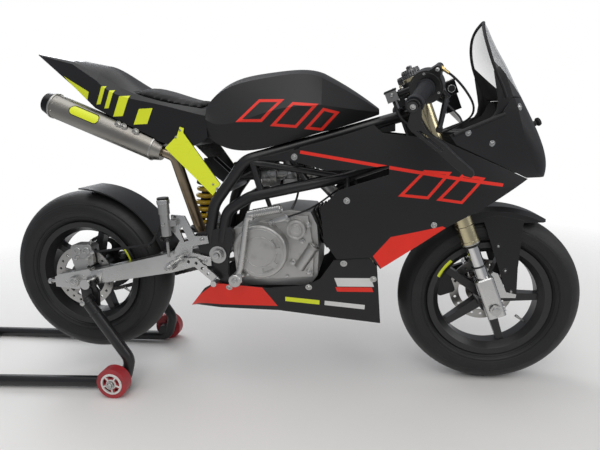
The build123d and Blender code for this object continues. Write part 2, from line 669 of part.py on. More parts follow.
def engine():
    outline = [
        (462, 300), (462, 322), (484, 334), (478, 462), (505, 468), (560, 498), (640, 512), (700, 506),
        (716, 470), (718, 400), (712, 330), (690, 302),
    ]
    case = plate(outline, -CASE_HALF, CASE_HALF)
    case = fillet(case.edges().filter_by(Axis.Y), 6)
    case += Pos(630, 0, 410) * disc(62, CASE_HALF - 4, CASE_HALF + 20)
    room = DRIVE_SPROCKET_R + CHAIN_H + 6
    inner = CHAIN_Y - CHAIN_W / 2 - 5
    outer = CASE_HALF + 40
    pocket = Pos(DRIVE_X, 0, DRIVE_Z) * disc(room, inner, outer)
    pocket += plate(
        [
            (DRIVE_X, DRIVE_Z - room), (DRIVE_X, DRIVE_Z + room),
            (400, DRIVE_Z + room), (400, DRIVE_Z - room - 20),
        ],
        inner, outer,
    )
    case -= pocket
    case += Pos(DRIVE_X, 0, DRIVE_Z) * disc(DRIVE_SPROCKET_R - SEAT_GAP, inner, CHAIN_Y + 3)
    save("engine_case", case)

    face = -CASE_HALF - 12
    cover = plate(
        [(514, 345), (514, 440), (560, 486), (640, 500), (694, 498), (706, 400), (700, 330), (540, 322)],
        face, -CASE_HALF - SEAT_GAP,
    )
    dome = Pos(CLUTCH_X, 0, CLUTCH_Z) * disc(CLUTCH_R, face - CLUTCH_DEEP, face + 2)
    dome = fillet(dome.edges().filter_by(GeomType.CIRCLE).sort_by(Axis.Y)[0], 8)
    ring = disc(57, face - CLUTCH_DEEP - 1, face - CLUTCH_DEEP + 5, 45)
    sector = plate([(0, 0), (90, -26), (90, 26)], face - CLUTCH_DEEP - 1, face)
    pockets = [
        Pos(CLUTCH_X, 0, CLUTCH_Z) * (Rotation(0, turn, 0) * (ring & sector)) for turn in (-28, 20, 68)
    ]
    bosses = [
        Pos(x, 0, z) * disc(8, face - 5, face + 1)
        for x, z in ((534, 448), (600, 482), (640, 490), (694, 474), (676, 430), (648, 372), (690, 344))
    ]
    cap = Pos(663, 0, 465) * disc(26, face - 20, face + 1)
    groove = Pos(663, 0, 465) * disc(19, face - 21, face - 17, 15)
    strainer = rod((664, -104, 356), (706, -104, 414), 15)
    inboard = Pos(600, 0, 400) * Box(400, 2 * (CASE_HALF + SEAT_GAP), 400)
    save("clutch_cover", fuse([cover, dome, cap, strainer, *bosses]) - inboard - pockets - groove)

    tilt = radians(19)
    lean = Plane(origin=(706, 0, 445), x_dir=(-sin(tilt), 0, cos(tilt)), z_dir=(cos(tilt), 0, sin(tilt)))
    barrel = Cylinder(50, 150, align=BASE)
    fins = [Pos(0, 0, 12 + 10 * i) * extrude(RectangleRounded(116, 124, 24), amount=3) for i in range(9)]
    head = Pos(0, 0, 100) * extrude(RectangleRounded(104, 112, 16), amount=52)
    cylinder = lean.location * fuse([barrel, *fins, head]) - case
    save("cylinder", cylinder)

    # Columns: start, end, radius of each run of the inlet
    runs = [
        ((640, -8, 590), (640, -8, 640), 22),
        ((600, -8, 606), (700, -8, 606), 20),
        ((700, -8, 606), (760, -8, 540), 17),
        ((560, -8, 606), (602, -8, 606), 38),
    ]
    save("carburettor", fuse([rod(start, end, radius) for start, end, radius in runs]))
    airbox = Pos(524, -8, 617) * Box(72, 104, 50)
    save("airbox", fillet(airbox.edges().filter_by(Axis.X), 12))

    kick = fuse([
        rod((499, -CASE_HALF - SEAT_GAP, 338), (499, -164, 338), 14),
        bent([(499, -156, 338), (516, -158, 372), (543, -164, 500), (556, -166, 522)], [24, 20], 8),
        rod((550, -165, 517), (636, -176, 532), 10),
    ])
    save("kick_lever", kick)
    return cylinder


SILENCER_FRONT = Vector(300, -78, 680)
SILENCER_REAR = Vector(-24, -78, 828)
SILENCER_R = 34
OUTLET_R = 17


def muffler(grow=0):
    """The silencer: a short cone from the header, an oval body and a short end cone."""
    along = (SILENCER_REAR - SILENCER_FRONT).normalized()
    length = (SILENCER_REAR - SILENCER_FRONT).length
    stations = [(0, 25), (26, SILENCER_R), (length - 24, SILENCER_R), (length, 28)]
    sections = [
        Plane(origin=tuple(SILENCER_FRONT + along * s), x_dir=(0, 1, 0), z_dir=along)
        * Ellipse(r + 2 + grow, r + grow)
        for s, r in stations
    ]
    return fuse([loft(sections[i:i + 2]) for i in range(len(sections) - 1)])


def exhaust(cylinder):
    along = (SILENCER_REAR - SILENCER_FRONT).normalized()
    corner = SILENCER_FRONT - along * 34
    end = SILENCER_FRONT - along * SEAT_GAP
    path = [
        (838, -6, 440), (856, -20, 268), (760, -44, 258), (402, -46, 258), (402, -46, 400),
        (374, -60, 470), (344, -70, 600), tuple(corner), tuple(end),
    ]
    header = bent(path, [40, 40, 60, 70, 60, 80, 24], 15, 12)
    save("exhaust_header", header - cylinder)
    bore = rod(tuple(SILENCER_REAR - along * 60), tuple(SILENCER_REAR + along * 10), OUTLET_R)
    save("silencer", muffler() - bore)


def body_section(x, z_low, half_low, z_mid, half_mid, z_high, half_high, crown):
    """A closed outline across the bike: flat floor, two sides and an arched top."""
    x = fore(x)
    low_r, low_l = (x, -half_low, z_low), (x, half_low, z_low)
    mid_r, mid_l = (x, -half_mid, z_mid), (x, half_mid, z_mid)
    high_r, high_l = (x, -half_high, z_high), (x, half_high, z_high)
    return make_face([
        Line(low_l, low_r), Line(low_r, mid_r), Line(mid_r, high_r),
        ThreePointArc(high_r, (x, 0, z_high + crown), high_l),
        Line(high_l, mid_l), Line(mid_l, low_l),
    ])


def tank_and_seat(frame):
    # Columns: x, floor z, floor half, waist z, waist half, shoulder z, shoulder half, crown
    tank_rear = [
        (438.3, 714, 100, 760, 112, 790, 96, 14),
        (500, 680, 104, 745, 122, 838, 84, 20),
        (600, 681, 104, 768, 126, 856, 80, 19),
        (690, 703, 96, 780, 122, 861, 77, 16),
        (742, 714, 90, 780, 116, 848, 74, 17),
    ]
    tank_front = [
        tank_rear[-1],
        (820, 733, 70, 766, 84, 803, 62, 13),
        (884, 751, 46, 756, 52, 762, 48, 5),
    ]
    tank = loft_rows(tank_rear, body_section) + loft_rows(tank_front, body_section)
    save("fuel_tank", tank - frame)
    tip = [
        (-70, 960, 18, 963, 24, 966, 21, 1),
        (50, 866, 60, 928, 55, 935, 47, 8),
        (130, 793, 84, 877, 79, 895, 62, 28),
    ]
    tail = [
        tip[-1],
        (173, 768, 92, 845, 90, 868, 70, 36),
        (262, 726, 101, 816, 98, 828, 88, 16),
        (330, 699, 104, 799, 103, 808, 92, 8),
        (438, 714, 106, 769, 108, 785, 94, 6),
    ]
    unit = loft_rows(tip, body_section, True) + loft_rows(tail, body_section)
    save("seat_tail", unit - muffler(4))
    strut = plate(
        [(319, 691), (356, 722), (366, 744), (377, 740), (374, 728), (463, 590), (440, 560)], -110, -104
    )
    save("tail_struts", *both(strut - frame - unit))
    pad = [
        (160, 853, 74, 862, 80, 872, 70, 4),
        (215, 828, 84, 840, 90, 850, 82, 10),
        (262, 812, 88, 826, 93, 838, 86, 14),
        (330, 796, 90, 808, 95, 820, 86, 12),
        (430, 772, 90, 786, 96, 798, 88, 8),
    ]
    save("seat_pad", loft_rows(pad, body_section) - Pos(0, 0, 0.3) * unit)


# Half-widths of the fairing's skin across the bike
# Columns: x, half at the sill, half at the waist, half at the rail
FAIRING = [
    (560, 128, 130, 116),
    (630, 136, 144, 126),
    (760, 146, 156, 138),
    (900, 154, 165, 150),
    (1040, 142, 160, 150),
    (1160, 108, 130, 122),
    (1270, 50, 76, 66),
]
SILL_Z, WAIST_Z, RAIL_Z = 330, 560, 740


def skin_section(x, sill, waist, rail, inset):
    x = fore(x)
    sides = [(sill - inset, SILL_Z), (waist - inset, WAIST_Z), (rail - inset, RAIL_Z)]
    points = [(x, -h, z) for h, z in sides] + [(x, h, z) for h, z in reversed(sides)]
    return make_face(Polyline(*points, close=True))


def nose_section(z, back, back_half, cheek, cheek_half, front, inset):
    """A level outline of nose or screen; an inset one runs on behind so that the shell is open there."""
    back, cheek, front = fore(back), fore(cheek), fore(front)
    if inset:
        slope = (back_half - cheek_half) / (cheek - back)
        back_half += NOSE_OPEN * slope
        back -= NOSE_OPEN
    rear, side = back_half - inset, cheek_half - inset
    return make_face([
        Line((back, rear, z), (back, -rear, z)),
        Line((back, -rear, z), (cheek, -side, z)),
        ThreePointArc((cheek, -side, z), (front - inset, 0, z), (cheek, side, z)),
        Line((cheek, side, z), (back, rear, z)),
    ])


def shell_of(rows, thick):
    """The hollow and the skin of a lofted nose or screen."""
    hollow = loft([nose_section(*row, thick) for row in rows])
    return hollow, loft([nose_section(*row, 0) for row in rows]) - hollow


def fairing():
    """Both side panels, the nose and the screen; returns the room inside the panels and nose."""
    outer = loft([skin_section(*row, 0) for row in FAIRING])
    inner = loft([skin_section(*row, PANEL) for row in FAIRING])
    skin = outer - inner
    outline = stretched([
        (572, 658), (640, 664), (690, 678), (812, 708), (869, 725), (890, 705), (1018, 686), (1240, 578),
        (1148, 525), (1092, 498), (1037, 471), (936, 405), (880, 368), (856, 398), (770, 392),
        (738, 440), (733, 530), (749, 540), (778, 570), (833, 587), (903, 606), (904, 629), (834, 621),
        (751, 620), (662, 647), (582, 650),
    ])
    for name, near, far in (("fairing_right", -200, 0), ("fairing_left", 0, 200)):
        save(name, skin & plate(outline, near, far))

    # Columns: z, back x, back half, cheek x, cheek half, front x
    nose = [
        (570, 1180, 92, 1287, 46, 1303),
        (672, 1060, 136, 1234, 80, 1289),
        (765, 1020, 147, 1201, 101, 1241),
        (785, 1020, 148, 1194, 102, 1230),
    ]
    nose_in, shell = shell_of(nose, PANEL)
    profile = stretched([
        (1026, 687), (1168, 736), (1190, SCREEN_LOW), (1250, SCREEN_LOW), (1320, 700), (1320, 574),
        (1246, 577),
    ])
    save("nose_cowl", shell & plate(profile, -200, 200))

    screen = [
        (760, 1060, 130, 1196, 101, 1242),
        (870, 1060, 100, 1130, 80, 1182),
        (964, 1040, 60, 1100, 46, 1143),
    ]
    glass = shell_of(screen, SCREEN_T)[1]
    sill = SCREEN_LOW + SEAT_GAP
    edge = stretched([
        (1192, sill), (1140, 795), (1096, 830), (1090, 880), (1100, 920), (1138, 962), (1160, 962),
        (1260, sill),
    ])
    save("windscreen", glass & plate(edge, -200, 200))
    return inner, nose_in


def belly():
    front = WHEELBASE - FRONT_TYRE_R - BELLY_GAP
    # Columns: x, floor z, floor half, rail z, rail half
    rows = [
        (352, 236, 78, 250, 116),
        (430, 234, 94, 340, 136),
        (600, 230, 100, 380, 142),
        (760, 209, 98, 410, 148),
        (front + 1, 194, 96, 420, 152),
    ]
    def trough(x, floor, floor_half, rail, rail_half, inset):
        points = [
            (x, -floor_half + inset, floor + inset), (x, floor_half - inset, floor + inset),
            (x, rail_half - inset, rail + inset), (x, inset - rail_half, rail + inset),
        ]
        return make_face(Polyline(*points, close=True))
    outer = loft([trough(*row, 0) for row in rows], ruled=True)
    inner = loft([trough(*row, PANEL) for row in rows], ruled=True)
    outline = [
        (340, 180), (340, 244), (371, 288), (418, 314), (436, 317), (505, 311), (577, 302), (686, 312),
        (722, 331), (762, 388), (front - 25, 394), (front - 7, 364), (front, 197), (front, 180),
    ]
    # Columns: x, z, y of the frame's or engine's side that the stay bolts to
    stays = [
        rod((x, near, z), (x, -160, z), 5) & outer
        for x, z, near in ((468, 304, -PLATE_OUT - SEAT_GAP), (690, 306, -CASE_HALF - SEAT_GAP))
    ]
    pan = (outer - inner) & plate(outline, -200, 200)
    save("belly_pan", fuse([pan, *both(stays[0]), *both(stays[1])]))


def rearsets():
    outline = [
        (322, 512), (360, 508), (384, 452), (420, 452), (422, 432), (376, 424), (372, 405),
        (424, 392), (424, 368), (336, 362), (310, 374), (312, 398), (340, 440), (318, 470),
    ]
    near = -HANGER_Y
    far = near - HANGER_T
    hanger = plate(outline, far, near)
    window = [(350, 480), (366, 438), (352, 436), (342, 470)]
    recess = [(352, 400), (362, 390), (408, 386), (408, 376), (350, 372), (336, 380)]
    hanger -= [plate(window, far - 1, near + 1), plate(recess, far - 1, far + 3)]
    bosses = [rod((x, near, z), (x, -PLATE_OUT - SEAT_GAP, z), 6.5) for x, z in ((407, 381), (403, 442))]
    right = fuse([hanger, *bosses])
    save("rearset_right", right)
    save("rearset_left", mirror(right, MIRROR))

    outer = far - SEAT_GAP
    peg = rod((330, outer, 382), (330, -200, 382), 9)
    rings = [rod((330, y, 382), (330, y - 4, 382), 12) for y in range(-190, -150, 8)]
    pivot = rod((330, outer, 382), (330, outer - 10, 382), 14)
    # Columns: name, outline, drilled holes, toe piece
    levers = (
        (
            "brake_pedal",
            [(322, 372), (326, 394), (384, 392), (434, 346), (448, 332), (438, 320), (424, 326), (376, 370)],
            ((362, 382), (384, 378), (400, 363), (416, 348)),
            (438, 328),
        ),
        (
            "gear_lever",
            [(330, 372), (330, 392), (440, 374), (462, 368), (460, 354), (436, 354)],
            ((362, 380), (386, 377), (410, 372)),
            (450, 361),
        ),
    )
    for name, shape, drilled, toe in levers:
        arm = plate(shape, outer - 8, outer - 2)
        for x, z in drilled:
            arm -= Pos(x, 0, z) * disc(4.5, outer - 9, outer - 1)
        tip = rod((toe[0], outer - 4, toe[1]), (toe[0], -162, toe[1]), 8)
        lever = fuse([pivot, peg, *rings, arm, tip])
        save(name, lever if name == "brake_pedal" else mirror(lever, MIRROR))

    y = outer - 15
    cylinder = fuse([
        rod((311, y, 458), (311, y, 520), 13),
        rod((311, y, 518), (311, y, 545), 15),
        rod((311, y, 398), (311, y, 460), 4),
        plate([(300, 500), (340, 500), (340, 484), (300, 484)], y, outer),
    ])
    save("rear_master_cylinder", cylinder)

    hose = soft_line(
        [(47.5, -80, 398), (84, -96, 404), (252, -118, 428), (280, -136, 462), (298, y, 490)], HOSE_R
    )
    save("rear_brake_hose", hose - cylinder)


def rear_brake_and_guard():
    body = Pos(14, -REAR_DISC_Y - 1, 70) * Box(66, 38, 64)
    body = fillet(body.edges().filter_by(Axis.Y), 10)
    arm = plate([(-10, 17), (20, 17), (34, 60), (-20, 60)], 7 - BEAM_Y + SEAT_GAP, -REAR_DISC_Y - 12)
    slot = disc(REAR_DISC_R + 5, -REAR_DISC_Y - DISC_T / 2 - 5, -REAR_DISC_Y + DISC_T / 2 + 5)
    bolts = [Pos(x, -REAR_DISC_Y - 20, 62) * (Rotation(90, 0, 0) * Cylinder(7, 8)) for x in (-4, 32)]
    save("rear_caliper", rear_at(fuse([body, arm, *bolts]) - slot))

    inner_r = REAR_TYRE_R + 10
    hoop = disc(inner_r + 4, -60, CHAIN_Y - CHAIN_W / 2 - 6, inner_r)
    wedge = plate([(0, 0), (20, 330), (300, 250), (320, 80)], -80, 80)
    tab = plate([(250, 49), (250, 73), (268, 73), (268, 49)], -BEAM_Y + BEAM_W / 2 + SEAT_GAP, -48)
    save("hugger", rear_at(fuse([hoop & wedge, *both(tab)])))

    save("chain", *chain_loop())


def chain_loop():
    """The chain as one band around the two sprockets."""
    rear = Vector(0, 0, REAR_AXLE_Z)
    front = Vector(DRIVE_X, 0, DRIVE_Z)
    reach = front - rear
    along = reach.normalized()
    normal = Vector(-along.Z, 0, along.X)
    def band(grow):
        big = SPROCKET_R + grow
        small = DRIVE_SPROCKET_R + grow
        return fuse([
            Pos(rear.X, 0, rear.Z) * disc(big, CHAIN_Y - CHAIN_W / 2, CHAIN_Y + CHAIN_W / 2),
            Pos(front.X, 0, front.Z) * disc(small, CHAIN_Y - CHAIN_W / 2, CHAIN_Y + CHAIN_W / 2),
            plate(
                [
                    tuple(rear + normal * big)[::2], tuple(front + normal * small)[::2],
                    tuple(front - normal * small)[::2], tuple(rear - normal * big)[::2],
                ],
                CHAIN_Y - CHAIN_W / 2, CHAIN_Y + CHAIN_W / 2,
            ),
        ])
    return [band(CHAIN_H + 0.5) - band(0.5)]


def stand():
    y = -STAND_Y
    side = bent(
        [
            (SPOOL_X + 4, y, REAR_AXLE_Z - 40), (162, y, 94), (138, y, STAND_TUBE_R + 6),
            (HANDLE_X, -HANDLE_Y, STAND_TUBE_R),
        ],
        [40, 40],
        STAND_TUBE_R,
    )
    handle = rod((HANDLE_X, -HANDLE_Y, STAND_TUBE_R), (HANDLE_X, HANDLE_Y, STAND_TUBE_R), STAND_TUBE_R)
    cradle = plate(
        [(-18, 6), (-16, -50), (30, -70), (34, -30), (20, 6)], y + 20, y + 28,
    )
    room = SPOOL_R - 6 + SEAT_GAP
    cradle -= Pos(0, 0, SPOOL_DROP) * disc(room, -200, 0)
    cradle -= Pos(0, -100, SPOOL_DROP + 20) * Box(2 * room, 200, 40)
    cradle = Pos(SPOOL_X, 0, REAR_AXLE_Z) * cradle
    link_z = REAR_AXLE_Z - 46
    link = rod((SPOOL_X + 10, y, link_z), (SPOOL_X + 10, y + 28, link_z), 12)
    stub = rod((ROLLER_X, y, ROLLER_R), (ROLLER_X, -ROLLER_Y - ROLLER_W / 2 - 8, ROLLER_R), ROLLER_STUB_R)
    lug = rod((ROLLER_X, y - 12, ROLLER_R), (ROLLER_X, y + 12, ROLLER_R), 20)
    half = fuse([side, cradle, link, stub, lug])
    save("paddock_stand", fuse([half, mirror(half, MIRROR), handle]))
    wheel = disc(ROLLER_R, -ROLLER_W / 2, ROLLER_W / 2, ROLLER_STUB_R + BORE_GAP)
    for i in range(SPOKES):
        wheel -= Rotation(0, 360 / SPOKES * i, 0) * (Pos(0, 0, 23) * disc(6.5, -ROLLER_W, ROLLER_W))
    for name, s in (("roller_right", -1), ("roller_left", 1)):
        save(name, Pos(ROLLER_X, s * ROLLER_Y, ROLLER_R) * wheel)


def main():
    os.makedirs("parts", exist_ok=True)
    wheels()
    fork()
    triple_clamps()
    controls()
    front_brake_and_guard()
    frame = frame_parts(fairing())
    swingarm_pivot()
    swingarm()
    shock()
    exhaust(engine())
    tank_and_seat(frame)
    belly()
    rearsets()
    rear_brake_and_guard()
    stand()


main()
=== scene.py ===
"""Dresses the mini racing motorcycle and its rear paddock stand: finishes, pad, chain and fittings."""

import bmesh
import bpy
from math import acos, atan2, copysign, cos, pi, radians, sin
from mathutils import Matrix, Vector
from mathutils.bvhtree import BVHTree


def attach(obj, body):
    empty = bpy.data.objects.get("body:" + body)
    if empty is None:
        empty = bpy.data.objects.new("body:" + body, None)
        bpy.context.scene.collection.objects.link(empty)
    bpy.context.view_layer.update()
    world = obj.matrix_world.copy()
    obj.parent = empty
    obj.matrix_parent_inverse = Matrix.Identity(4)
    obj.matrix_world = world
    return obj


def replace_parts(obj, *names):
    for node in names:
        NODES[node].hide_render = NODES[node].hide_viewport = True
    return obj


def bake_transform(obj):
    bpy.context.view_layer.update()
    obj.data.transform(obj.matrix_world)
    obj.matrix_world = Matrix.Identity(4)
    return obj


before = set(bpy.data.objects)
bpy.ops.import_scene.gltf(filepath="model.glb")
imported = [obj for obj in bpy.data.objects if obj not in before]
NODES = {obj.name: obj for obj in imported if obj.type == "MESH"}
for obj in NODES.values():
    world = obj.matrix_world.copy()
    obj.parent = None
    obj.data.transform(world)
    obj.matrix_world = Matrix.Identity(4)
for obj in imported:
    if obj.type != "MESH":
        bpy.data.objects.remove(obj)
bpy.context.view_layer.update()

# The rear axle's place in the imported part, and the two wheels' centres (x, z), in metres
REAR_X = -0.4195
FRONT_WHEEL = (REAR_X + 1.173, 0.242)
REAR_WHEEL = (REAR_X, 0.319)
# The same centres in bike millimetres, which are counted from below the rear axle
FRONT_HUB, REAR_HUB = Vector((1173, 0, 242)), Vector((0, 0, 319))
TO_METRES = Matrix.Translation((REAR_X, 0, 0)) @ Matrix.Scale(0.001, 4)
TO_MM = TO_METRES.inverted()
RIGHT, LEFT = -1, 1
AHEAD, ACROSS, UP = Vector((1, 0, 0)), Vector((0, 1, 0)), Vector((0, 0, 1))

# The steering head's own frame, in bike millimetres: level point under it, fore-and-aft way and the axis
STEER_AT = Vector((1146.6, 0, 232.65))
STEER_FORE = Vector((0.94264, 0, 0.33381))
STEER_UP = Vector((-0.33381, 0, 0.94264))
BAR_INNER, BAR_OUTER = (66, 116, 606), (-13, 290, 562)
FORK_OFFSET, LEG_Y, FORK_TOP = 28, 86, 628

# The silencer's axis, and the chain's two pitch circles: centre x, z and radius
SILENCER_FRONT, SILENCER_REAR = Vector((300, -78, 680)), Vector((-24, -78, 828))
CHAIN_REAR, CHAIN_DRIVE, CHAIN_Y, LINKS = (0, 319, 91), (520, 392, 39), 74, 116

# Search trees of the CAD nodes that something has been set on
TREES = {}

# How deep a screw's head sits in what carries it, and its hexagon socket's share of its radius
SUNK, SOCKET = 1, 0.46


def steer(x, y, up):
    """A point of the steering head's own frame, in bike millimetres."""
    return STEER_AT + STEER_FORE * x + ACROSS * y + STEER_UP * up


def bar_way(side):
    """The inner end of a handlebar and the way along it, in bike millimetres."""
    inner, outer = [steer(x, y * side, up) for x, y, up in (BAR_INNER, BAR_OUTER)]
    return inner, (outer - inner).normalized()


def meet(node, start, reach):
    """Where a straight line from a bike point first meets a CAD node, and the way its surface faces."""
    if node not in TREES:
        TREES[node] = BVHTree.FromObject(NODES[node], bpy.context.evaluated_depsgraph_get())
    place, normal, _, _ = TREES[node].ray_cast(TO_METRES @ Vector(start), Vector(reach).normalized())
    if place is None:
        raise RuntimeError(f"nothing of {node} lies ahead of {tuple(start)}")
    return TO_MM @ place, normal


def from_side(node, x, z, side=RIGHT):
    """The same, looking level at one side of the bike."""
    return meet(node, (x, 400 * side, z), ACROSS * -side)


def rim(radius, low, high, edge):
    """The outer side of a round part's profile, its two corners broken."""
    return [(radius - edge, low), (radius, low + edge), (radius, high - edge), (radius - edge, high)]


def circle(count, across, up, start=0.0):
    """Ways at even turns from one direction towards another, the first a share of a turn on."""
    turns = [2 * pi * (step + start) / count for step in range(count)]
    return [across * cos(turn) + up * sin(turn) for turn in turns]


def round_edges(part, edges, width):
    bmesh.ops.bevel(
        part, geom=list(edges), offset=width, segments=2, profile=0.5, affect="EDGES", material=-1
    )


def top_face(part):
    return max(part.faces, key=lambda face: face.calc_center_median().z)


class Kit:
    """Parts of one finish on one body, modelled in bike millimetres and gathered into one piece."""

    def __init__(self, name, material, slot, body="chassis"):
        self.name, self.material, self.slot, self.body = name, material, slot, body
        self.mesh = bmesh.new()

    def join(self, part, at=(0, 0, 0), axis=None, turn=0, wide=1):
        """Stands a part modelled along Z at a point, along an axis if one is given, and adds it."""
        part.transform(Matrix.Rotation(radians(turn), 4, "Z"))
        if axis is not None:
            part.transform(Vector(axis).to_track_quat("Z", "Y").to_matrix().to_4x4())
        part.transform(Matrix.Diagonal((1, wide, 1, 1)))
        part.transform(Matrix.Translation(at))
        part.normal_update()
        bmesh.ops.recalc_face_normals(part, faces=part.faces)
        loose = bpy.data.meshes.new("loose")
        part.to_mesh(loose)
        part.free()
        self.mesh.from_mesh(loose)
        bpy.data.meshes.remove(loose)

    def lathe(self, profile, at, axis=UP, steps=24, wide=1):
        """Spins (radius, height) points about an axis."""
        part = bmesh.new()
        line = [part.verts.new((radius, 0, height)) for radius, height in profile]
        edges = [part.edges.new(pair) for pair in zip(line, line[1:])]
        bmesh.ops.spin(
            part, geom=line + edges, cent=(0, 0, 0), axis=UP, angle=2 * pi, steps=steps, use_merge=True
        )
        bmesh.ops.remove_doubles(part, verts=part.verts, dist=0.001)
        self.join(part, at, axis, wide=wide)

    def ring(self, inner, outer, low, high, at, axis=UP, steps=28, edge=0.4, wide=1):
        """A round collar with broken corners."""
        profile = [(inner, low), *rim(outer, low, high, edge), (inner, high), (inner, low)]
        self.lathe(profile, at, axis, steps, wide)

    def stud(self, radius, low, high, at, axis=UP, steps=20, edge=0.5):
        """A round solid with broken corners."""
        self.lathe([(0, low), *rim(radius, low, high, edge), (0, high)], at, axis, steps)

    def bolt(self, at, axis, radius, height, kind="socket", turn=0):
        """A screw's head standing on a surface: socket, hexagon or dome with a socket."""
        part = bmesh.new()
        sides = 6 if kind == "hexagon" else 24
        top = radius * (0.62 if kind == "dome" else 1)
        whole = height + SUNK
        bmesh.ops.create_cone(part, cap_ends=True, segments=sides, radius1=radius, radius2=top, depth=whole)
        bmesh.ops.translate(part, vec=(0, 0, whole / 2 - SUNK), verts=part.verts)
        round_edges(part, top_face(part).edges, radius * 0.12)
        if kind != "hexagon":
            face = top_face(part)
            across = radius * SOCKET
            bmesh.ops.inset_region(
                part, faces=[face], thickness=face.verts[0].co.xy.length - across, use_even_offset=True
            )
            for vert in face.verts:
                lean = atan2(vert.co.y, vert.co.x) % (pi / 3) - pi / 6
                vert.co.xy = vert.co.xy.normalized() * across * cos(pi / 6) / cos(lean)
            bmesh.ops.extrude_discrete_faces(part, faces=[face])
            face = [f for f in part.faces if len(f.verts) > 6 and f.calc_center_median().z > height / 2][-1]
            bmesh.ops.translate(part, vec=(0, 0, -height * 0.55), verts=face.verts)
        self.join(part, at, axis, turn)

    def bolts(self, rows):
        """Screws from rows of a bolt's own values."""
        for row in rows:
            self.bolt(*row)

    def pairs(self, rows):
        """Screws on both sides that face outward: x, y, z, radius, height and kind."""
        for side in (RIGHT, LEFT):
            self.bolts([((x, y * side, z), ACROSS * side, *shape) for x, y, z, *shape in rows])

    def block(self, size, at, edge, axis=None):
        """A box with rounded edges, its middle at a point."""
        part = bmesh.new()
        bmesh.ops.create_cube(part, size=1)
        bmesh.ops.scale(part, vec=size, verts=part.verts)
        round_edges(part, part.edges, edge)
        self.join(part, at, axis)

    def plate(self, outline, near, far, edge=0.5):
        """A flat piece from an outline of (x, z) points between two depths in y."""
        part = bmesh.new()
        face = part.faces.new([part.verts.new((x, near, z)) for x, z in outline])
        grown = bmesh.ops.extrude_face_region(part, geom=[face])["geom"]
        bmesh.ops.translate(
            part, vec=(0, far - near, 0), verts=[v for v in grown if isinstance(v, bmesh.types.BMVert)]
        )
        bmesh.ops.recalc_face_normals(part, faces=part.faces)
        round_edges(part, part.edges, edge)
        self.join(part)

    def line(self, points, radius, sides=2):
        """A round cord or tube that follows its control points smoothly."""
        curve = bpy.data.curves.new("line", "CURVE")
        curve.dimensions = "3D"
        spline = curve.splines.new("NURBS")
        spline.points.add(len(points) - 1)
        for point, place in zip(spline.points, points):
            point.co = (*place, 1)
        spline.order_u = min(3, len(points))
        spline.use_endpoint_u = True
        curve.resolution_u = 8
        curve.bevel_depth = radius
        curve.bevel_resolution = sides
        curve.use_fill_caps = True
        holder = bpy.data.objects.new("line", curve)
        mesh = bpy.data.meshes.new_from_object(holder)
        part = bmesh.new()
        part.from_mesh(mesh)
        bmesh.ops.remove_doubles(part, verts=part.verts, dist=0.01)
        bpy.data.objects.remove(holder)
        bpy.data.curves.remove(curve)
        bpy.data.meshes.remove(mesh)
        self.join(part)

    def done(self):
        """Makes the object, which rides on its body."""
        self.mesh.transform(TO_METRES)
        piece = solid(self.name, self.mesh, self.material)
        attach(piece, self.body)
        return piece


class Value:
    """A shader socket that takes arithmetic: each operator adds its Math node."""

    def __init__(self, nodes, socket):
        self.nodes, self.socket = nodes, socket

    def __add__(self, other):
        return self.nodes.math("ADD", self, other)

    __radd__ = __add__

    def __sub__(self, other):
        return self.nodes.math("SUBTRACT", self, other)

    def __rsub__(self, other):
        return self.nodes.math("SUBTRACT", other, self)

    def __mul__(self, other):
        return self.nodes.math("MULTIPLY", self, other)

    __rmul__ = __mul__

    def __truediv__(self, other):
        return self.nodes.math("DIVIDE", self, other)

    def __pow__(self, other):
        return self.nodes.math("POWER", self, other)

    def __neg__(self):
        return self * -1

    def __abs__(self):
        return self.nodes.math("ABSOLUTE", self)

    def __and__(self, other):
        return self.nodes.math("MINIMUM", self, other)

    def __or__(self, other):
        return self.nodes.math("MAXIMUM", self, other)


class Nodes:
    """A node tree, and the one method that adds nodes to it."""

    def __init__(self, tree):
        self.tree = tree

    def node(self, kind, settings=None, inputs=None, out=0):
        """Adds a node, sets it, fills its sockets and gives back one of its outputs."""
        node = self.tree.nodes.new(kind)
        for name, value in (settings or {}).items():
            setattr(node, name, value)
        for key, value in (inputs or {}).items():
            self.fill(node.inputs[key], value)
        return Value(self, node.outputs[out])

    def fill(self, socket, value):
        if isinstance(value, Value):
            self.tree.links.new(value.socket, socket)
        else:
            socket.default_value = value

    def math(self, operation, *values):
        return self.node("ShaderNodeMath", {"operation": operation}, dict(enumerate(values)))


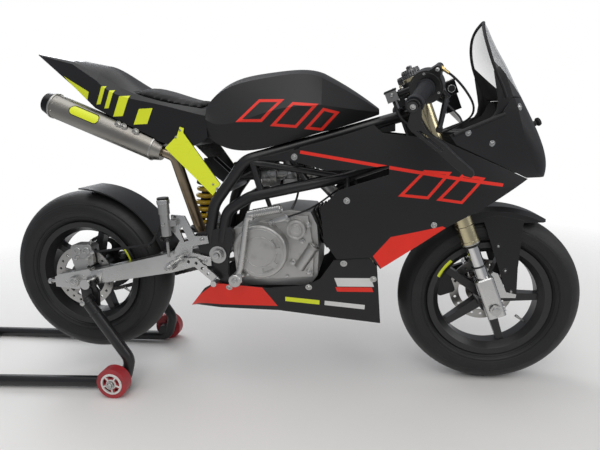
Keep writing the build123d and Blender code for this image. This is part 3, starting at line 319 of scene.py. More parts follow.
class Finish(Nodes):
    """One material being made: its shader, and the place of the point that is shaded."""

    def __init__(self, name, colour, roughness, metallic=0.0, **constants):
        self.material = bpy.data.materials.new(name)
        self.material.use_nodes = True
        super().__init__(self.material.node_tree)
        self.surface = self.tree.nodes["Principled BSDF"]
        self.colour = (*colour, 1.0)
        self.roughness = roughness
        self.put("Metallic", metallic)
        for socket, value in constants.items():
            self.put(socket.replace("_", " "), value)
        self.place = self.node("ShaderNodeTexCoord", out="Object")
        self.x = self.node("ShaderNodeSeparateXYZ", {}, {0: self.place}, "X")
        apart = self.x.socket.node
        self.y = Value(self, apart.outputs["Y"])
        self.z = Value(self, apart.outputs["Z"])

    def put(self, name, value):
        self.fill(self.surface.inputs[name], value)

    def clip(self, value):
        return self.node("ShaderNodeClamp", {}, {"Value": value})

    def mix(self, low, high, factor):
        """A colour between two colours."""
        return self.node("ShaderNodeMix", {"data_type": "RGBA"}, {0: factor, 6: low, 7: high}, 2)

    def tint(self, colour, mask):
        """Lays a colour over what the surface has so far, where the mask is 1."""
        self.colour = self.mix(self.colour, (*colour, 1.0), mask)

    def noise(self, scale, detail=2.0, stretch=None):
        """Clouds from 0 to 1; scale is how many cross a metre."""
        place = self.place
        if stretch:
            place = self.node("ShaderNodeMapping", {}, {"Vector": place, "Scale": stretch})
        return self.node("ShaderNodeTexNoise", {}, {"Vector": place, "Scale": scale, "Detail": detail}, "Fac")

    def stains(self, scale, detail, gain, less, stretch=None):
        """The darker part of such clouds, from 0 to 1."""
        return self.clip(self.noise(scale, detail, stretch) * gain - less)

    def sharp(self, value, width=0.0003):
        """1 where the value is above 0, with an edge this wide."""
        return self.clip(value / width + 0.5)

    def line(self, value, half, width=0.001):
        """1 within half a line's width of where the value is 0."""
        return self.sharp(half - abs(value), width)

    def around(self, centre):
        """Distance from a wheel's axle, whose centre is (x, z)."""
        dx = self.x - centre[0]
        dz = self.z - centre[1]
        return (dx * dx + dz * dz) ** 0.5

    def along(self, start, way):
        """Metres past a bike point, measured along a direction."""
        start, way = TO_METRES @ Vector(start), Vector(way).normalized()
        return self.x * way.x + self.y * way.y + self.z * way.z - start.dot(way)

    def inside(self, points):
        """How far inside a convex outline of (x, z) bike millimetres, anticlockwise from the right side."""
        depth = None
        for (ax, az), (bx, bz) in zip(points, points[1:] + points[:1]):
            here = self.along((ax, 0, az), (az - bz, 0, bx - ax))
            depth = here if depth is None else depth & here
        return depth

    def outward(self):
        """1 where the surface faces away from the bike's mid-plane."""
        normal = self.node("ShaderNodeNewGeometry", out="Normal")
        facing = self.node("ShaderNodeSeparateXYZ", {}, {0: normal}, "Y")
        return self.sharp(facing * self.y, 0.0001)

    def field(self, colour, points):
        """A flat painted area on both sides of the bike."""
        self.tint(colour, self.sharp(self.inside(points)) & self.outward())

    def band(self, colour, points, width):
        """A painted outline of this width in millimetres along the inside of a convex outline."""
        depth = self.inside(points)
        self.tint(colour, self.sharp(depth) & self.sharp(width / 1000 - depth) & self.outward())

    def done(self, heights, radius=0.0008, smear=0.06, mottle=0.12, wear=0.0, wear_colour=(0.3, 0.3, 0.3)):
        """Colour clouds, smears, wear along sharp corners and relief, then the links to the shader."""
        rounded = self.node("ShaderNodeBevel", {"samples": 6}, {"Radius": radius}, "Normal")
        cloud = self.noise(9, 3)
        if mottle:
            darker = self.node(
                "ShaderNodeMix", {"data_type": "RGBA", "blend_type": "MULTIPLY"},
                {0: mottle * 2, 6: self.colour, 7: self.mix((0, 0, 0, 1), (1, 1, 1, 1), cloud)}, 2,
            )
            self.colour = self.mix(self.colour, darker, 0.5)
        if wear:
            flat = self.node("ShaderNodeNewGeometry", out="Normal")
            dot = self.node(
                "ShaderNodeVectorMath", {"operation": "DOT_PRODUCT"}, {0: rounded, 1: flat}, "Value"
            )
            corner = self.clip((1 - dot) * 9)
            self.tint(wear_colour, corner * self.stains(60, 3, 2.4, 0.7) * wear)
        self.put("Base Color", self.colour)
        smears = self.noise(24, 4, (1, 1, 3))
        self.put(
            "Roughness",
            self.clip(smears * smear + (cloud - 0.5) * smear + (self.roughness - smear / 2)),
        )
        for height, distance in heights:
            relief = {"Height": height, "Distance": distance, "Normal": rounded}
            rounded = self.node("ShaderNodeBump", {}, relief, "Normal")
        self.put("Normal", rounded)
        return self.material


RED = (0.92, 0.03, 0.014)
YELLOW = (0.88, 0.97, 0.03)
WHITE = (0.8, 0.8, 0.78)
BLACK = (0.012, 0.012, 0.013)

# The seat pad's simulation, in metres and frames: voxel, furthest move, pressure, frames
VOXEL, SWELL, PRESSURE, FRAMES = 0.005, 0.005, 4, 20

# The screen's outer face, columns: height, edge x, edge half width, front x; the half turn of its sides in
# degrees; and its thickness in metres
SCREEN_ROWS = (
    (773, 1180, 103, 1238), (800, 1170, 104, 1223), (830, 1155, 104, 1209), (860, 1144, 102, 1193),
    (885, 1137, 97, 1177), (911, 1132, 85, 1164), (935, 1131, 65, 1155), (950, 1135, 42, 1149.5),
    (960.5, 1142, 14, 1145),
)
SCREEN_TURN, SCREEN_THICK = 75, 0.0028


def panel_paint(name, paint=None):
    """Matt black bodywork with a fine orange peel, and its painted fields."""
    finish = Finish(name, (0.0105, 0.0105, 0.0115), 0.44, Specular_IOR_Level=0.38)
    if paint:
        paint(finish)
    peel, ripple = finish.noise(260), finish.noise(14, 1)
    return finish.done([(peel, 0.00006), (ripple, 0.0006)], 0.0012, 0.1, 0.25, 0.35, (0.09, 0.09, 0.095))


def powder_coat(name):
    finish = Finish(name, (0.011, 0.011, 0.012), 0.34)
    return finish.done([(finish.noise(900), 0.00005)], 0.001, 0.12, 0.2, 0.6, (0.12, 0.12, 0.12))


def black_alloy(name, centre=None, strip=None):
    """Satin black lacquer on cast alloy, with a plain yellow strip on a wheel's rim if one is given."""
    finish = Finish(name, (0.012, 0.012, 0.013), 0.33, 0.1, Coat_Weight=0.15, Coat_Roughness=0.3)
    if strip:
        first, last = [Vector((x, 0, z)) for x, z in strip]
        hub = TO_MM @ Vector((centre[0], 0, centre[1]))
        reach = finish.around(centre)
        run = finish.along(first, last - first)
        inner, outer, near = 0.1385, 0.1525, 0.03
        place = finish.sharp(reach - inner) & finish.sharp(outer - reach) & finish.sharp(-finish.y - near)
        place = place & finish.sharp(run) & finish.sharp((last - first).length / 1000 - run)
        finish.tint(YELLOW, place & finish.sharp(finish.along(hub, first - hub)))
    return finish.done([(finish.noise(700), 0.00003)], 0.0015, 0.12, 0.2, 0.5, (0.16, 0.16, 0.16))


def slick_rubber(name, centre, radius):
    """A slick: scuffed tread, fine rings on the walls, raised bead rings and a dull bloom."""
    finish = Finish(name, (0.0135, 0.0135, 0.014), 0.52, Specular_IOR_Level=0.4)
    reach = finish.around(centre)
    tread = finish.sharp(reach - (radius - 0.016), 0.012)
    finish.tint((0.036, 0.035, 0.033), tread * finish.noise(34, 4, (1, 6, 1)))
    finish.tint((0.022, 0.022, 0.021), finish.stains(16, 4, 2.2, 1.1))
    wall = finish.sharp(radius - 0.03 - reach, 0.01)
    rings = finish.math("SINE", reach * 900) * wall
    step = finish.line(reach - 0.1715, 0.0014) | finish.line(reach - 0.1795, 0.0009)
    step = step | finish.line(reach - (radius - 0.034), 0.0008)
    return finish.done([(rings, 0.00012), (step, 0.0014), (finish.noise(420, 3), 0.00012)], 0.001, 0.2, 0.4)


def brushed_alloy(name, stretch, colour=(0.62, 0.62, 0.61), roughness=0.3):
    finish = Finish(name, colour, roughness, 1.0)
    finish.tint((0.40, 0.40, 0.39), finish.stains(7, 4, 2, 1.05))
    return finish.done([(finish.noise(420, 3, stretch), 0.00005)], 0.001, 0.16, 0.2, 0.5, (0.85, 0.85, 0.84))


def cast_alloy(name, colour=(0.56, 0.555, 0.54), roughness=0.44):
    """Sand-cast and blasted alloy with patches of grime."""
    finish = Finish(name, colour, roughness, 0.9)
    finish.tint((0.24, 0.23, 0.21), finish.stains(22, 5, 2.6, 1.45))
    sand, lumps = finish.noise(620, 3), finish.noise(90)
    return finish.done([(sand, 0.0001), (lumps, 0.0002)], 0.0016, 0.14, 0.3, 0.7, (0.72, 0.71, 0.69))


def plated(name, colour, roughness, metallic=1.0):
    """Small plated and anodised fittings."""
    finish = Finish(name, colour, roughness, metallic)
    return finish.done([(finish.noise(800), 0.00002)], 0.0006, 0.1, 0.2, 0.4, (0.7, 0.7, 0.7))


def turned_steel(name, centre):
    """A brake disc's face, ground in rings round the axle."""
    finish = Finish(name, (0.5, 0.49, 0.47), 0.3, 1.0)
    reach = finish.around(centre)
    rings = finish.node(
        "ShaderNodeTexNoise", {"noise_dimensions": "1D"}, {"W": reach, "Scale": 1500.0, "Detail": 3.0}, "Fac"
    )
    swept = finish.sharp(reach - 0.064, 0.002)
    finish.tint((0.30, 0.29, 0.28), (1 - swept) * 0.7)
    return finish.done([(rings, 0.00006)], 0.0006, 0.14, 0.2, 0.3, (0.8, 0.8, 0.8))


def gold_tube(name):
    """Champagne anodised fork tubes, with a turned ring near the foot whose groove has painted shade, and a
    dark cap on top.
    """
    finish = Finish(name, (0.60, 0.53, 0.34), 0.24, 1.0)
    up = finish.along(STEER_AT, STEER_UP)
    shaded_groove = finish.line(up - 0.234, 0.0006, 0.0005)
    finish.tint((0.14, 0.14, 0.143), finish.sharp(up - FORK_TOP / 1000))
    # Painted shade: the ring's groove is darkened as if in shadow
    finish.tint((0.12, 0.11, 0.08), shaded_groove)
    lines = finish.noise(500, 2, (1, 1, 0.05))
    return finish.done([(lines, 0.00003), (1 - shaded_groove, 0.0008)], 0.001, 0.14, 0.15, 0.4, (0.8, 0.78, 0.7))


def lever_alloy(name, body, colour, blade, metallic):
    """A lever whose cylinder body, above and ahead of a steering-frame point, has its own colour."""
    finish = Finish(name, blade, 0.32, metallic)
    x, up = body
    above = finish.sharp(finish.along(steer(0, 0, up), STEER_UP))
    finish.tint(colour, above & finish.sharp(finish.along(steer(x, 0, 0), STEER_FORE) * copysign(1, x)))
    return finish.done([(finish.noise(800), 0.00002)], 0.0008, 0.12, 0.2, 0.4, (0.7, 0.7, 0.7))


def heat_tinted(name):
    """The header's steel, straw to brown with heat bands."""
    finish = Finish(name, (0.36, 0.27, 0.17), 0.3, 1.0)
    finish.tint((0.17, 0.12, 0.085), finish.stains(11, 3, 2, 0.6, (0.5, 0.5, 2)) * 0.8)
    finish.tint((0.42, 0.36, 0.27), finish.sharp(finish.z - 0.60, 0.12) * 0.6)
    return finish.done([(finish.noise(400, 3, (2, 2, 0.1)), 0.00005)], 0.001, 0.16, 0.2)


def titanium(name):
    """The silencer's brushed sleeve with a plain yellow oval, and its dark rear cap."""
    finish = Finish(name, (0.36, 0.345, 0.315), 0.34, 1.0)
    way = SILENCER_REAR - SILENCER_FRONT
    run, rise = finish.along(SILENCER_FRONT, way), finish.along(SILENCER_FRONT, (way.z, 0, -way.x))
    cap_from, oval_at, oval_half, oval_up = 0.334, 0.228, 0.031, 0.015
    finish.tint((0.25, 0.23, 0.20), finish.stains(9, 4, 2, 1, (1, 1, 3)))
    finish.tint((0.035, 0.035, 0.036), finish.sharp(run - cap_from))
    beyond, across = (abs(run - oval_at) - oval_half) | 0, rise - oval_up
    reach = (beyond * beyond + across * across) ** 0.5
    outer = finish.sharp(-finish.y - 0.078)
    finish.tint((0.02, 0.02, 0.02), finish.sharp(0.0128 - reach) & outer)
    oval = finish.sharp(0.0108 - reach) & outer
    finish.tint(YELLOW, oval)
    finish.put("Metallic", 1 - oval)
    return finish.done([(finish.noise(380, 3, (0.6, 6, 6)), 0.00005)], 0.001, 0.16, 0.2)


def gloss(name, colour, roughness=0.28, outer=None):
    """Smooth coloured gel or vinyl; past a depth from the mid-plane only, if one is given."""
    finish = Finish(name, colour, roughness, Coat_Weight=0.3, Coat_Roughness=0.12)
    if outer:
        finish.tint(BLACK, 1 - finish.sharp(abs(finish.y) - outer))
    return finish.done([(finish.noise(60), 0.0001)], 0.0008, 0.08, 0.1, 0.3, tuple(c * 0.6 for c in colour))


def soft_rubber(name, colour=(0.016, 0.016, 0.018)):
    finish = Finish(name, colour, 0.62, Specular_IOR_Level=0.35)
    return finish.done([(finish.noise(500, 3), 0.0002)], 0.0008, 0.14, 0.3)


def cell_foam(name):
    """Closed-cell foam: fine pores and pressed dimples."""
    finish = Finish(name, (0.017, 0.017, 0.018), 0.72, Specular_IOR_Level=0.3, Sheen_Weight=0.15)
    pores = finish.node("ShaderNodeTexVoronoi", {}, {"Vector": finish.place, "Scale": 520.0}, "Distance")
    finish.tint((0.034, 0.034, 0.035), finish.stains(40, 4, 2, 1))
    return finish.done([(pores, 0.0003), (finish.noise(30), 0.0008)], 0.001, 0.1, 0.3)


def polyurethane(name):
    """The stand's rollers, with floor dirt."""
    finish = Finish(name, (0.46, 0.03, 0.038), 0.42)
    finish.tint((0.24, 0.035, 0.04), finish.stains(50, 4, 2, 0.9))
    return finish.done([(finish.noise(300), 0.0001)], 0.001, 0.14, 0.3)


def clear_screen(name):
    """A clear moulded screen, darker where it is seen edge on."""
    finish = Finish(name, (0.35, 0.36, 0.37), 0.05, Specular_IOR_Level=0.6)
    edge_on = finish.node("ShaderNodeLayerWeight", {}, {"Blend": 0.3}, "Facing")
    hem = finish.sharp(0.8565 - 1.08 * (finish.x - (REAR_X + 1.151)) - finish.z)
    finish.tint((0.014, 0.014, 0.015), hem)
    finish.roughness = 0.05 + hem * 0.4
    finish.put("Alpha", finish.clip(edge_on * 0.6 + 0.08) | hem)
    return finish.done([(finish.noise(5, 1), 0.0004)], 0.0008, 0.02, 0.0)


def slash(finish, colour, x, z, width, height, lean):
    """A leaning painted bar, its middle at (x, z) in bike millimetres."""
    half, rise, shift = width / 2, height / 2, lean * height / 2
    finish.field(colour, [
        (x - half - shift, z - rise), (x + half - shift, z - rise),
        (x + half + shift, z + rise), (x - half + shift, z + rise),
    ])


def tail_paint(finish):
    """A yellow wedge and slanted bars along the tail's flank, and the glossy lamp on its tip."""
    finish.field(YELLOW, [(14, 899), (90, 826), (99, 850)])
    for x, z, width, height in (
        (140, 838, 14, 46), (165, 826, 14, 46), (200, 806, 30, 52), (262, 776, 40, 40),
    ):
        slash(finish, YELLOW, x, z, width, height, 0.5)
    above = finish.sharp((finish.x - (REAR_X - 0.07)) * 0.2583 + finish.z - 0.964)
    lamp = above & finish.sharp(REAR_X + 0.06 - finish.x)
    finish.tint((0.006, 0.006, 0.007), lamp)
    lens = finish.sharp(0.026 - abs(finish.y)) & finish.sharp(0.04 - abs(finish.x - REAR_X + 0.01))
    finish.tint((0.16, 0.004, 0.006), lamp & lens)
    finish.roughness = 0.42 - lamp * 0.34


def tank_paint(finish):
    """Outlined red slashes on the tank's flank and a yellow bar across its front shoulder."""
    for outline in (
        [(521.7, 748.9), (589.5, 745.7), (649.2, 798.7), (583, 802.4)],
        [(609.6, 734.8), (674.9, 726.7), (734.8, 782.6), (670.5, 790.6)],
        [(694.2, 723.3), (738.8, 716.1), (785.5, 760.9), (745.6, 772.7)],
    ):
        finish.band(RED, outline, 7)
    front = finish.sharp(finish.x - REAR_X - 0.728) & finish.sharp(REAR_X + 0.79 - finish.x)
    high = finish.sharp(finish.z - 0.836) & finish.sharp(0.022 - abs(finish.y - 0.008))
    finish.tint(YELLOW, front & high)


def fairing_paint(finish):
    """The red wedge along the fairing's lower front edge, a long stripe and outlined slashes."""
    finish.field(RED, [(1040, 471), (1030, 476), (906, 452), (862, 402), (884, 366)])
    long_stripe(finish, RED, (686.5, 667.9), (1174.4, 568.9), 8)
    finish.band(RED, [(924.2, 554.3), (995, 544.9), (1049.9, 607.8), (984.9, 615.2)], 7)
    finish.band(RED, [(1014.1, 541.5), (1075.5, 529.5), (1130.2, 589.5), (1073.7, 601.7)], 7)


def long_stripe(finish, colour, start, end, width):
    """A painted stripe of this width between two points."""
    (ax, az), (bx, bz) = start, end
    way = Vector((bx - ax, bz - az)).normalized() * width / 2
    finish.field(colour, [
        (ax + way.y, az - way.x), (bx + way.y, bz - way.x),
        (bx - way.y, bz + way.x), (ax - way.y, az + way.x),
    ])


def belly_paint(finish):
    """The red field at the pan's tail, and plain yellow, white and red bars."""
    finish.field(RED, [(342, 246), (598, 244), (561, 304), (430, 318), (352, 262)])
    long_stripe(finish, YELLOW, (622, 268), (716, 258), 14)
    long_stripe(finish, WHITE, (730, 257), (838, 245), 14)
    slash(finish, WHITE, 812, 322, 96, 26, -0.28)
    slash(finish, RED, 812, 300, 96, 14, -0.28)


def dress(material, names):
    """Gives CAD nodes, named in one string, a finish."""
    for name in names.split():
        mesh = NODES[name].data
        if not mesh.materials:
            mesh.materials.append(material)
        for i in range(len(mesh.materials)):
            mesh.materials[i] = material


def finishes():
    """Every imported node's finish; gives back those that loose pieces share."""
    panel = panel_paint("matt_black_panel")
    powder = powder_coat("black_powder_coat")
    milled = brushed_alloy("milled_alloy", (0.3, 1, 1), (0.66, 0.66, 0.65), 0.26)
    cast = cast_alloy("sand_cast_alloy")
    bright = plated("plated_steel", (0.55, 0.55, 0.54), 0.28)
    dark = plated("black_anodised", (0.016, 0.016, 0.017), 0.34, 0.3)
    rubber = soft_rubber("black_rubber")
    dress(panel, "nose_cowl front_mudguard hugger")
    dress(panel_paint("tank_panel", tank_paint), "fuel_tank")
    dress(panel_paint("belly_panel", belly_paint), "belly_pan")
    dress(panel_paint("tail_panel", tail_paint), "seat_tail")
    dress(panel_paint("fairing_panel", fairing_paint), "fairing_right fairing_left")
    dress(powder, "frame frame_plates frame_braces steering_head paddock_stand triple_clamps")
    dress(black_alloy("satin_black_alloy"), "clip_on_bars")
    dress(black_alloy("front_wheel_lacquer", FRONT_WHEEL, ((1039.5, 306.5), (1079.5, 346.6))), "front_rim")
    dress(black_alloy("rear_wheel_lacquer", REAR_WHEEL, ((128, 398), (147, 352))), "rear_rim")
    dress(slick_rubber("front_slick", FRONT_WHEEL, 0.242), "front_tyre")
    dress(slick_rubber("rear_slick", REAR_WHEEL, 0.252), "rear_tyre")
    dress(brushed_alloy("brushed_alloy", (0.05, 1, 1)), "swingarm")
    dress(milled, "rearset_right rearset_left brake_pedal gear_lever fork_feet")
    dress(
        lever_alloy("clutch_lever_alloy", (100, 503), (0.02, 0.02, 0.021), (0.62, 0.62, 0.61), 1.0),
        "clutch_lever",
    )
    dress(
        lever_alloy("brake_lever_alloy", (-20, 589), (0.26, 0.26, 0.26), (0.016, 0.016, 0.017), 0.6),
        "brake_lever",
    )
    dress(cast, "engine_case clutch_cover")
    dress(
        cast_alloy("die_cast_alloy", (0.5, 0.5, 0.49), 0.38),
        "carburettor rear_master_cylinder rear_caliper",
    )
    dress(cast_alloy("black_fins", (0.02, 0.02, 0.02), 0.5), "cylinder")
    dress(gold_tube("champagne_tube"), "fork_outer_tubes")
    dress(plated("hard_chrome", (0.78, 0.78, 0.77), 0.08), "fork_inner_tubes")
    dress(bright, "kick_lever front_axle rear_axle swingarm_pivot")
    dress(dark, "shock_body throttle_housing lever_guard front_caliper rear_sprocket airbox")
    dress(turned_steel("front_disc_steel", FRONT_WHEEL), "front_disc")
    dress(turned_steel("rear_disc_steel", REAR_WHEEL), "rear_disc")
    dress(heat_tinted("heat_tinted_steel"), "exhaust_header")
    dress(titanium("brushed_titanium"), "silencer")
    dress(gloss("yellow_gel", YELLOW, 0.28, 0.1085), "tail_struts")
    dress(gloss("spring_yellow", (0.62, 0.40, 0.02), 0.32), "shock_spring")
    dress(rubber, "front_brake_hose rear_brake_hose")
    dress(polyurethane("red_polyurethane"), "roller_right roller_left")
    return panel, milled, cast, bright, dark, rubber


def floor_finish():
    """A pale floor that fades out before its edge."""
    finish = Finish("pale_floor", (0.80, 0.79, 0.77), 0.55)
    finish.put("Base Color", finish.mix((0.79, 0.78, 0.76, 1), (0.83, 0.82, 0.80, 1), finish.noise(1.5, 3)))
    finish.put("Roughness", finish.noise(3) * 0.1 + 0.5)
    reach = (finish.x * finish.x + finish.y * finish.y) ** 0.5
    finish.put("Alpha", finish.clip((2.6 - reach) / 1.6))
    return finish.material


def studio():
    """A pale floor, a white surround and soft lamps."""
    mesh = bmesh.new()
    bmesh.ops.create_grid(mesh, x_segments=1, y_segments=1, size=14)
    solid("studio_floor", mesh, floor_finish())
    scene = bpy.context.scene
    scene.world = bpy.data.worlds.new("studio")
    scene.world.use_nodes = True
    air = Nodes(scene.world.node_tree)
    seen, through = [
        air.node("ShaderNodeLightPath", out=f"Is {ray} Ray") for ray in ("Camera", "Transmission")
    ]
    lit, white = [
        air.node("ShaderNodeBackground", {}, {"Color": colour, "Strength": strength})
        for colour, strength in (((0.92, 0.94, 1.0, 1), 0.36), ((1, 1, 1, 1), 1.0))
    ]
    shown = air.node("ShaderNodeMixShader", {}, {0: seen | through, 1: lit, 2: white})
    air.fill(air.tree.nodes["World Output"].inputs["Surface"], shown)
    # name, place, size, power, tone
    for name, place, size, power, tone in (
        ("key", (0.6, -2.6, 3.0), 2.4, 46, (1.0, 0.98, 0.95)),
        ("top", (-0.4, 0.2, 3.2), 3.0, 40, (1.0, 1.0, 1.0)),
        ("rim", (-2.4, 2.2, 2.2), 1.6, 30, (0.95, 0.97, 1.0)),
        ("front", (3.0, -0.8, 1.6), 1.6, 18, (1.0, 1.0, 1.0)),
    ):
        data = bpy.data.lights.new(name, "AREA")
        data.size, data.energy, data.color = size, power, tone
        lamp = bpy.data.objects.new(name, data)
        lamp.location = place
        lamp.rotation_euler = (Vector((0, 0, 0.45)) - Vector(place)).to_track_quat("-Z", "Y").to_euler()
        scene.collection.objects.link(lamp)


def camera():
    """The viewpoint: low in front of the right flank, turned a little to the rear."""
    yaw, pitch, roll = radians(8.96), radians(12.12), radians(-2.79)
    forward = Vector((-sin(yaw) * cos(pitch), cos(yaw) * cos(pitch), -sin(pitch)))
    level = Vector((cos(yaw), sin(yaw), 0))
    right = level * cos(roll) + level.cross(forward) * sin(roll)
    up = right.cross(forward)
    data = bpy.data.cameras.new("camera")
    data.sensor_width, data.lens = 36, 27.72
    view = bpy.data.objects.new("camera", data)
    stands_at = Matrix.Translation((0.4394, -1.2905, 0.732))
    view.matrix_world = stands_at @ Matrix((right, up, -forward)).transposed().to_4x4()
    bpy.context.scene.collection.objects.link(view)
    bpy.context.scene.camera = view


def solid(name, mesh, material, smooth=35):
    """Turns a bmesh into an object with one finish, shaded smooth up to an angle in degrees."""
    data = bpy.data.meshes.new(name)
    mesh.to_mesh(data)
    mesh.free()
    data.materials.append(material)
    data.shade_smooth()
    data.set_sharp_from_angle(angle=radians(smooth))
    piece = bpy.data.objects.new(name, data)
    bpy.context.scene.collection.objects.link(piece)
    return piece


def ribbed_grips(rubber):
    """Rubber sleeves with an inner flange, fine ribs and a thick outer ring."""
    grips = Kit("ribbed_grips", rubber, "grip_rubber", "steering")
    for side in (RIGHT, LEFT):
        inner, along = bar_way(side)
        profile = [(11.3, 0), (21.3, 0), (21.3, 5), (17.2, 6.5)]
        for rib in range(15):
            low = 9 + rib * 6
            profile += [(16.4, low), (16.4, low + 3.4), (15.2, low + 4), (15.2, low + 5.4)]
        profile += [(18.6, 100), (19.6, 101.5), (19.6, 112), (18, 113.8), (11.3, 113.8), (11.3, 0)]
        grips.lathe(profile, inner + along * 70, along, 32)
    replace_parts(grips.done(), "hand_grips")


def bar_fittings(bright, dark, brass):
    """End screws, clamp screws, the throttle's screws and cable barrel, and the fork's knurled caps."""
    silver = Kit("steering_screws", bright, "steel", "steering")
    black = Kit("steering_collars", dark, "black_small", "steering")
    grey = Kit("fork_caps", plated("grey_anodised", (0.15, 0.15, 0.155), 0.32), "black_small", "steering")
    cap = [
        (0, 20.6), (12, 20.6), (20, 19.6), (21.6, 17), (21.6, 12),
        (20.4, 11), (20.4, 9), (21.6, 8), (21.6, 2), (0, 2),
    ]
    # Screws of clamps, bar rings and feet: x and y from the leg, height, way, radius, height of the head
    screws = [(-30, y, up, -STEER_FORE, 4, 4.5) for y in (-9.6, 9.6) for up in (410, 583)]
    screws += [(-29.6, 4, up, -STEER_FORE, 3.4, 4) for up in (601, 613)]
    screws += [(23, 8, up, STEER_FORE, 3.6, 4) for up in (-14, 6)]
    screws += [(23.2, 12, up, STEER_FORE, 3.4, 4) for up in (-4, 12)]
    for side in (RIGHT, LEFT):
        inner, along = bar_way(side)
        silver.bolt(inner + along * 191, along, 10.5, 4.5, "dome")
        black.ring(10.5, 15, 187.4, 191.4, inner, along)
        leg, top = [steer(FORK_OFFSET, LEG_Y * side, up) for up in (0, FORK_TOP)]
        grey.lathe(cap, top, STEER_UP, 32)
        for out in circle(24, STEER_FORE, ACROSS):
            grey.stud(1.3, 2.4, 16.6, top + out * 21.4, STEER_UP, 6, 0.3)
        silver.stud(4.6, 26.6, 29, top, STEER_UP, 16)
        silver.ring(21, 24.6, 183.6, 186.4, leg, STEER_UP)
        black.ring(16.2, 22, 176, 183.2, leg, STEER_UP, 32, 1)
        black.ring(17, 19.4, 118, 121, leg, STEER_UP)
        for x, y, up, way, radius, height in screws:
            silver.bolt(steer(FORK_OFFSET + x, (LEG_Y + y) * side, up), way, radius, height)
        silver.bolt(steer(FORK_OFFSET + 12, (LEG_Y + 22) * side, 6), ACROSS * side, 3, 2.5)
    inner, along = bar_way(RIGHT)
    across = (steer(0.693, -0.457, 0.559) - STEER_AT).normalized()
    level = along.cross(across)
    for out in circle(3, across, level, 1 / 3):
        silver.bolt(inner + along * 68 + out * 31, along, 3, 1.6)
    silver.bolt(inner + along * 68.2 + across * 46, along, 5.5, 2.2, "dome")
    black.ring(22.5, 34, 68, 69.5, inner, along)
    barrel = Kit("cable_barrels", brass, "gold_anodised", "steering")
    cable_end, cable_way = inner + along * 55 + across * 50, along * 0.2 - level
    barrel.stud(5, 0, 14, cable_end, cable_way, 6)
    barrel.stud(3.4, 13, 26, cable_end, cable_way, 14)
    # Screws of the brake's cylinder, its clamp and its lid
    silver.bolt(steer(-34, -124.2, 606), -ACROSS, 6, 2.2, "dome")
    silver.bolt(steer(-21, -112, 590), STEER_FORE, 3, 2)
    black.block((40, 30, 5), steer(-34, -106, 617), 1.5, STEER_UP)
    for x, y in ((-42, -92), (-26, -120)):
        silver.bolt(steer(x, y, 619.5), STEER_UP, 2, 1)
    grey.done()
    barrel.done()
    return silver, black, cable_end, cable_way.normalized()


def clutch_reservoir(silver, black):
    """Lid, round windows and screws of the cup on the left lever."""
    black.block((31, 35, 5), steer(152, 198, 588.5), 1.5, STEER_UP)
    silver.block((27, 31, 4), steer(152, 198, 592), 1.5, STEER_UP)
    for side in (RIGHT, LEFT):
        silver.bolt(steer(152 + 11 * side, 198, 594), STEER_UP, 2.2, 1.2)
        window, out = steer(152, 198 + 14 * side, 567), ACROSS * side
        black.stud(9.5, -1, 1.2, window, out)
        silver.ring(9.5, 11.5, -1, 1.6, window, out)
    silver.bolt(steer(124, 183, 533), -ACROSS, 5, 3, "dome")


def screen_point(across, row):
    """A point of the screen's outer face, in bike millimetres: across runs from -1 to 1."""
    z, edge, half, front = row
    lean = radians(SCREEN_TURN)
    turn = across * lean
    x = edge + (front - edge) * (cos(turn) - cos(lean)) / (1 - cos(lean))
    return Vector((x, half * sin(turn) / sin(lean), z))


def screen(clear):
    """The moulded screen: a sheet whose sides wrap back and whose top is rounded."""
    sheet = bmesh.new()
    columns, rows = 12, len(SCREEN_ROWS) - 1
    bmesh.ops.create_grid(sheet, x_segments=columns, y_segments=rows, size=1)
    for vert in sheet.verts:
        row = SCREEN_ROWS[round((vert.co.y + 1) / 2 * rows)]
        vert.co = screen_point(vert.co.x, row)
    sheet.transform(TO_METRES)
    glass = solid("moulded_screen", sheet, clear, 60)
    curve = glass.modifiers.new("curve", "SUBSURF")
    curve.levels = curve.render_levels = 2
    thick = glass.modifiers.new("thick", "SOLIDIFY")
    thick.thickness, thick.offset = SCREEN_THICK, -1
    settle(glass)
    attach(glass, "chassis")
    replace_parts(glass, "windscreen")


